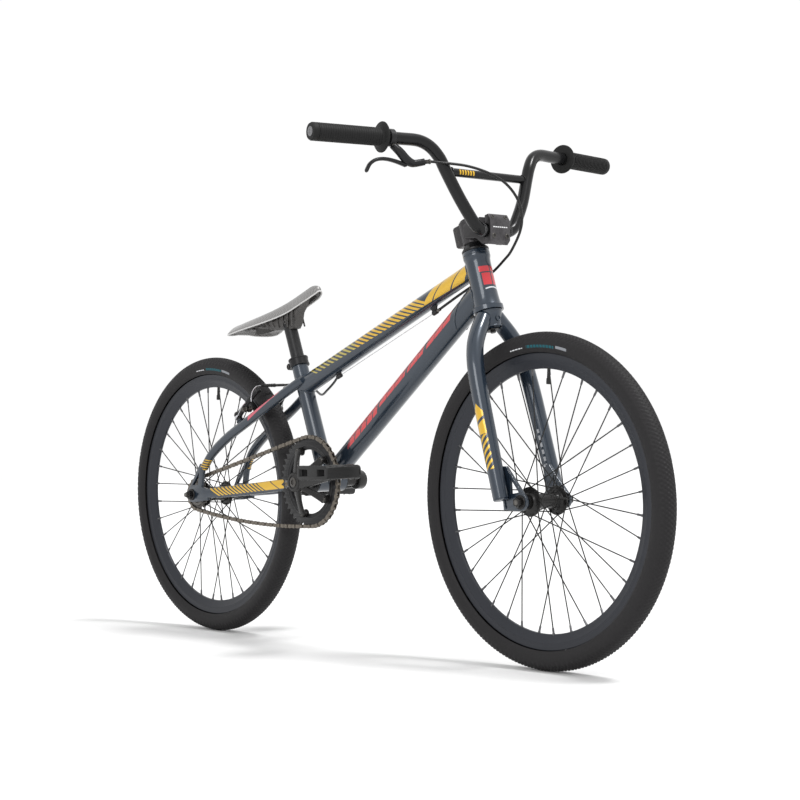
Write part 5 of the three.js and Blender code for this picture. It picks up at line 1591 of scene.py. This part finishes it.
def brake_arm(side, name):
    body = f"brake_arm_{name}"
    pivot = brake_pivot(side)
    post = BRAKE_POST
    hub_shape = turned([[0, -6], [7, -6], [7, 10.8], [6.2, 11.8], [0, 11.8]], pivot, pivot + post, 32)
    top = pivot + ALONG_ARM * 82
    top.y = side * 36
    path, radii = [], []
    for i in range(20):
        t = i / 19
        p = (pivot + post * 4).lerp(top + post * 5, t)
        p.y += side * 3.0 * math.sin(math.pi * t)
        path.append(p)
        radii.append((4.6 - 1.2 * t, 7.2 - 2.6 * t))
    arm = sweep(path, radii, 24, power=2.8)
    eye = rod(top + post * 0.5, top + post * 9.5, 5.2, 5.0, 24)
    piece(f"{body}_lever", [hub_shape, arm, eye], body, looks["black"], [body])
    outward = pivot + ALONG_ARM * 33 - REAR_AXLE
    outward.y = 0
    outward.normalize()
    pad_at = REAR_AXLE + outward * 252.3
    tangent = V(-outward.z, 0, outward.x)
    rubber = sweep([pad_at + V(0, side * 16, 0) + tangent * u + outward * (-(u * u) / 500.0) for u in
                    (-22, -20, -12, 0, 12, 20, 22)],
                   [(2.6, 2.6), (3.6, 4.0), (3.7, 4.4), (3.7, 4.4), (3.7, 4.4), (3.6, 4.0), (2.6, 2.6)], 20,
                   power=3.4)
    holder = sweep([pad_at + V(0, side * 20.5, 0) + tangent * u for u in (-14, 0, 14)],
                   [(1.4, 3.0), (1.8, 3.8), (1.4, 3.0)], 16, power=3)
    piece(f"{body}_pad", [rubber, holder], body, looks["grip"])
    bolt_a = pad_at + V(0, side * 21, 0)
    stud = rod(bolt_a, pad_at + V(0, side * 53, 0), 3.0, 3.0, 18)
    washers = [turned([[3, 0], [7, 0], [7.4, 0.6], [6.4, 2.6], [3, 2.8]], pad_at + V(0, side * y, 0),
                      pad_at + V(0, side * (y + 1), 0), 28) for y in (30, 34.5, 44)]
    nut = turned([[0, 0], [5.2, 0, "hex"], [5.2, 4.6, "hex"], [4.2, 5.4, "hex"], [0, 5.4]],
                 pad_at + V(0, side * 47.4, 0),
                 pad_at + V(0, side * 60, 0), 24)
    anchor = bolt_head(top + post * 9.4, post, 4.4, 3.2)
    pivot_bolt = bolt_head(pivot + post * 11.6, post, 5.0, 3.0)
    piece(f"{body}_bolts", [stud, *washers, nut, anchor, pivot_bolt], body, looks["dark_steel"])
    spring = smooth([pivot + V(-4, side * 7, -3), pivot + ALONG_ARM * 12 + V(0, side * 8, 0),
                     pivot + ALONG_ARM * 34 + V(0, side * 9.5, 0) + post * 3,
                     pivot + ALONG_ARM * 44 + V(0, side * 5, 0) + post * 5], 26)
    coil = [pivot + post * (1.5 + 0.5 * i / 6) + (ALONG_ARM * math.cos(i / 2.2)
            + V(0, side, 0) * math.sin(i / 2.2)) * 8.2 for i in range(26)]
    piece(f"{body}_spring", [sweep(spring, 0.9, 8), sweep(coil, 0.9, 8)], body, looks["steel"])


# ------------------------------------------------------------------------ assembly

head_tube()
frame_tubes()
for side, name in SIDES:
    stays(side, name)
bearings()
seat_clamp()
saddle()
GREY_MARK = (0.22, 0.23, 0.25)
FRONT_SPANS = ((95.5, 102.0, 267.4, 269.2, WHITE, True), (79.2, 93.4, 267.0, 271.8, TEAL, True),
               (72.6, 78.2, 268.0, 272.8, GREY_MARK, False))
REAR_SPANS = ((77.9, 90.0, 267.0, 271.8, TEAL, True), (71.0, 77.2, 268.0, 272.8, GREY_MARK, False),
              (91.5, 98.0, 267.4, 269.2, WHITE, True))
wheel("rear", REAR_AXLE, 28, 110, 15, REAR_SPANS)
wheel("front", FRONT_AXLE, 33, 100, 13, FRONT_SPANS)
axle_set("rear", REAR_AXLE, 78, 61.5, "frame")
axle_set("front", FRONT_AXLE, 68, 56.5, "steering")
chain()
crankset()
for side, name in SIDES:
    pedal(side, name)
fork()
stem()
bars()
grips()
lever()
cables()
for side, name in SIDES:
    brake_arm(side, name)

# ------------------------------------------------------- floor, light and the camera


def floor():
    mesh = bpy.data.meshes.new("floor")
    size = 14.0
    mesh.from_pydata([(-size, -size, 0), (size, -size, 0), (size, size, 0), (-size, size, 0)], [],
                     [(0, 1, 2, 3)])
    look = bpy.data.materials.new("pale_floor")
    look.use_nodes = True
    tree = look.node_tree
    shader = tree.nodes["Principled BSDF"]
    shader.inputs["Roughness"].default_value = 0.7
    shader.inputs["Specular IOR Level"].default_value = 0.15
    surface = Surface(tree)
    tree.links.new(mix(tree, surface.noise(3.0), (0.70, 0.70, 0.70), (0.74, 0.74, 0.74)),
                   shader.inputs["Base Color"])
    mesh.materials.append(look)
    item = bpy.data.objects.new("floor", mesh)
    bpy.context.scene.collection.objects.link(item)


def light(name, position, target, size, power):
    data = bpy.data.lights.new(name, "AREA")
    data.shape = "RECTANGLE"
    data.size, data.size_y = size
    data.energy = power
    item = bpy.data.objects.new(name, data)
    item.location = position
    item.rotation_euler = (Vector(target) - Vector(position)).to_track_quat("-Z", "Y").to_euler()
    bpy.context.scene.collection.objects.link(item)


floor()
world = bpy.data.worlds.new("studio")
world.use_nodes = True
world.node_tree.nodes["Background"].inputs[0].default_value = (1, 1, 1, 1)
world.node_tree.nodes["Background"].inputs[1].default_value = 1.02
bpy.context.scene.world = world
bpy.context.scene.view_settings.view_transform = "Standard"
sun_data = bpy.data.lights.new("key_light", "SUN")
sun_data.energy = 2.4
sun_data.angle = math.radians(14)
sun = bpy.data.objects.new("key_light", sun_data)
sun.rotation_euler = Vector((-0.75, -0.30, -1.5)).to_track_quat("-Z", "Y").to_euler()
bpy.context.scene.collection.objects.link(sun)
light("side_light", (1.6, -3.2, 2.0), (0, 0, 0.45), (1.6, 1.2), 30)

camera_data = bpy.data.cameras.new("camera")
camera_data.sensor_width = 36.0
camera_data.lens = 79.3
camera_data.clip_end = 60
camera = bpy.data.objects.new("camera", camera_data)
yaw, pitch, roll = math.radians(49.31), math.radians(1.06), math.radians(-1.15)
forward = V(-math.sin(yaw) * math.cos(pitch), math.cos(yaw) * math.cos(pitch), math.sin(pitch))
right_hand = V(math.cos(yaw), math.sin(yaw), 0)
upward = right_hand.cross(forward)
screen_right = right_hand * math.cos(roll) + upward * math.sin(roll)
screen_up = upward * math.cos(roll) - right_hand * math.sin(roll)
rotation = Matrix((screen_right, screen_up, -forward)).transposed()
camera.rotation_euler = rotation.to_euler()
camera.location = (2.665, -2.187, 0.419)
bpy.context.scene.collection.objects.link(camera)
bpy.context.scene.camera = camera
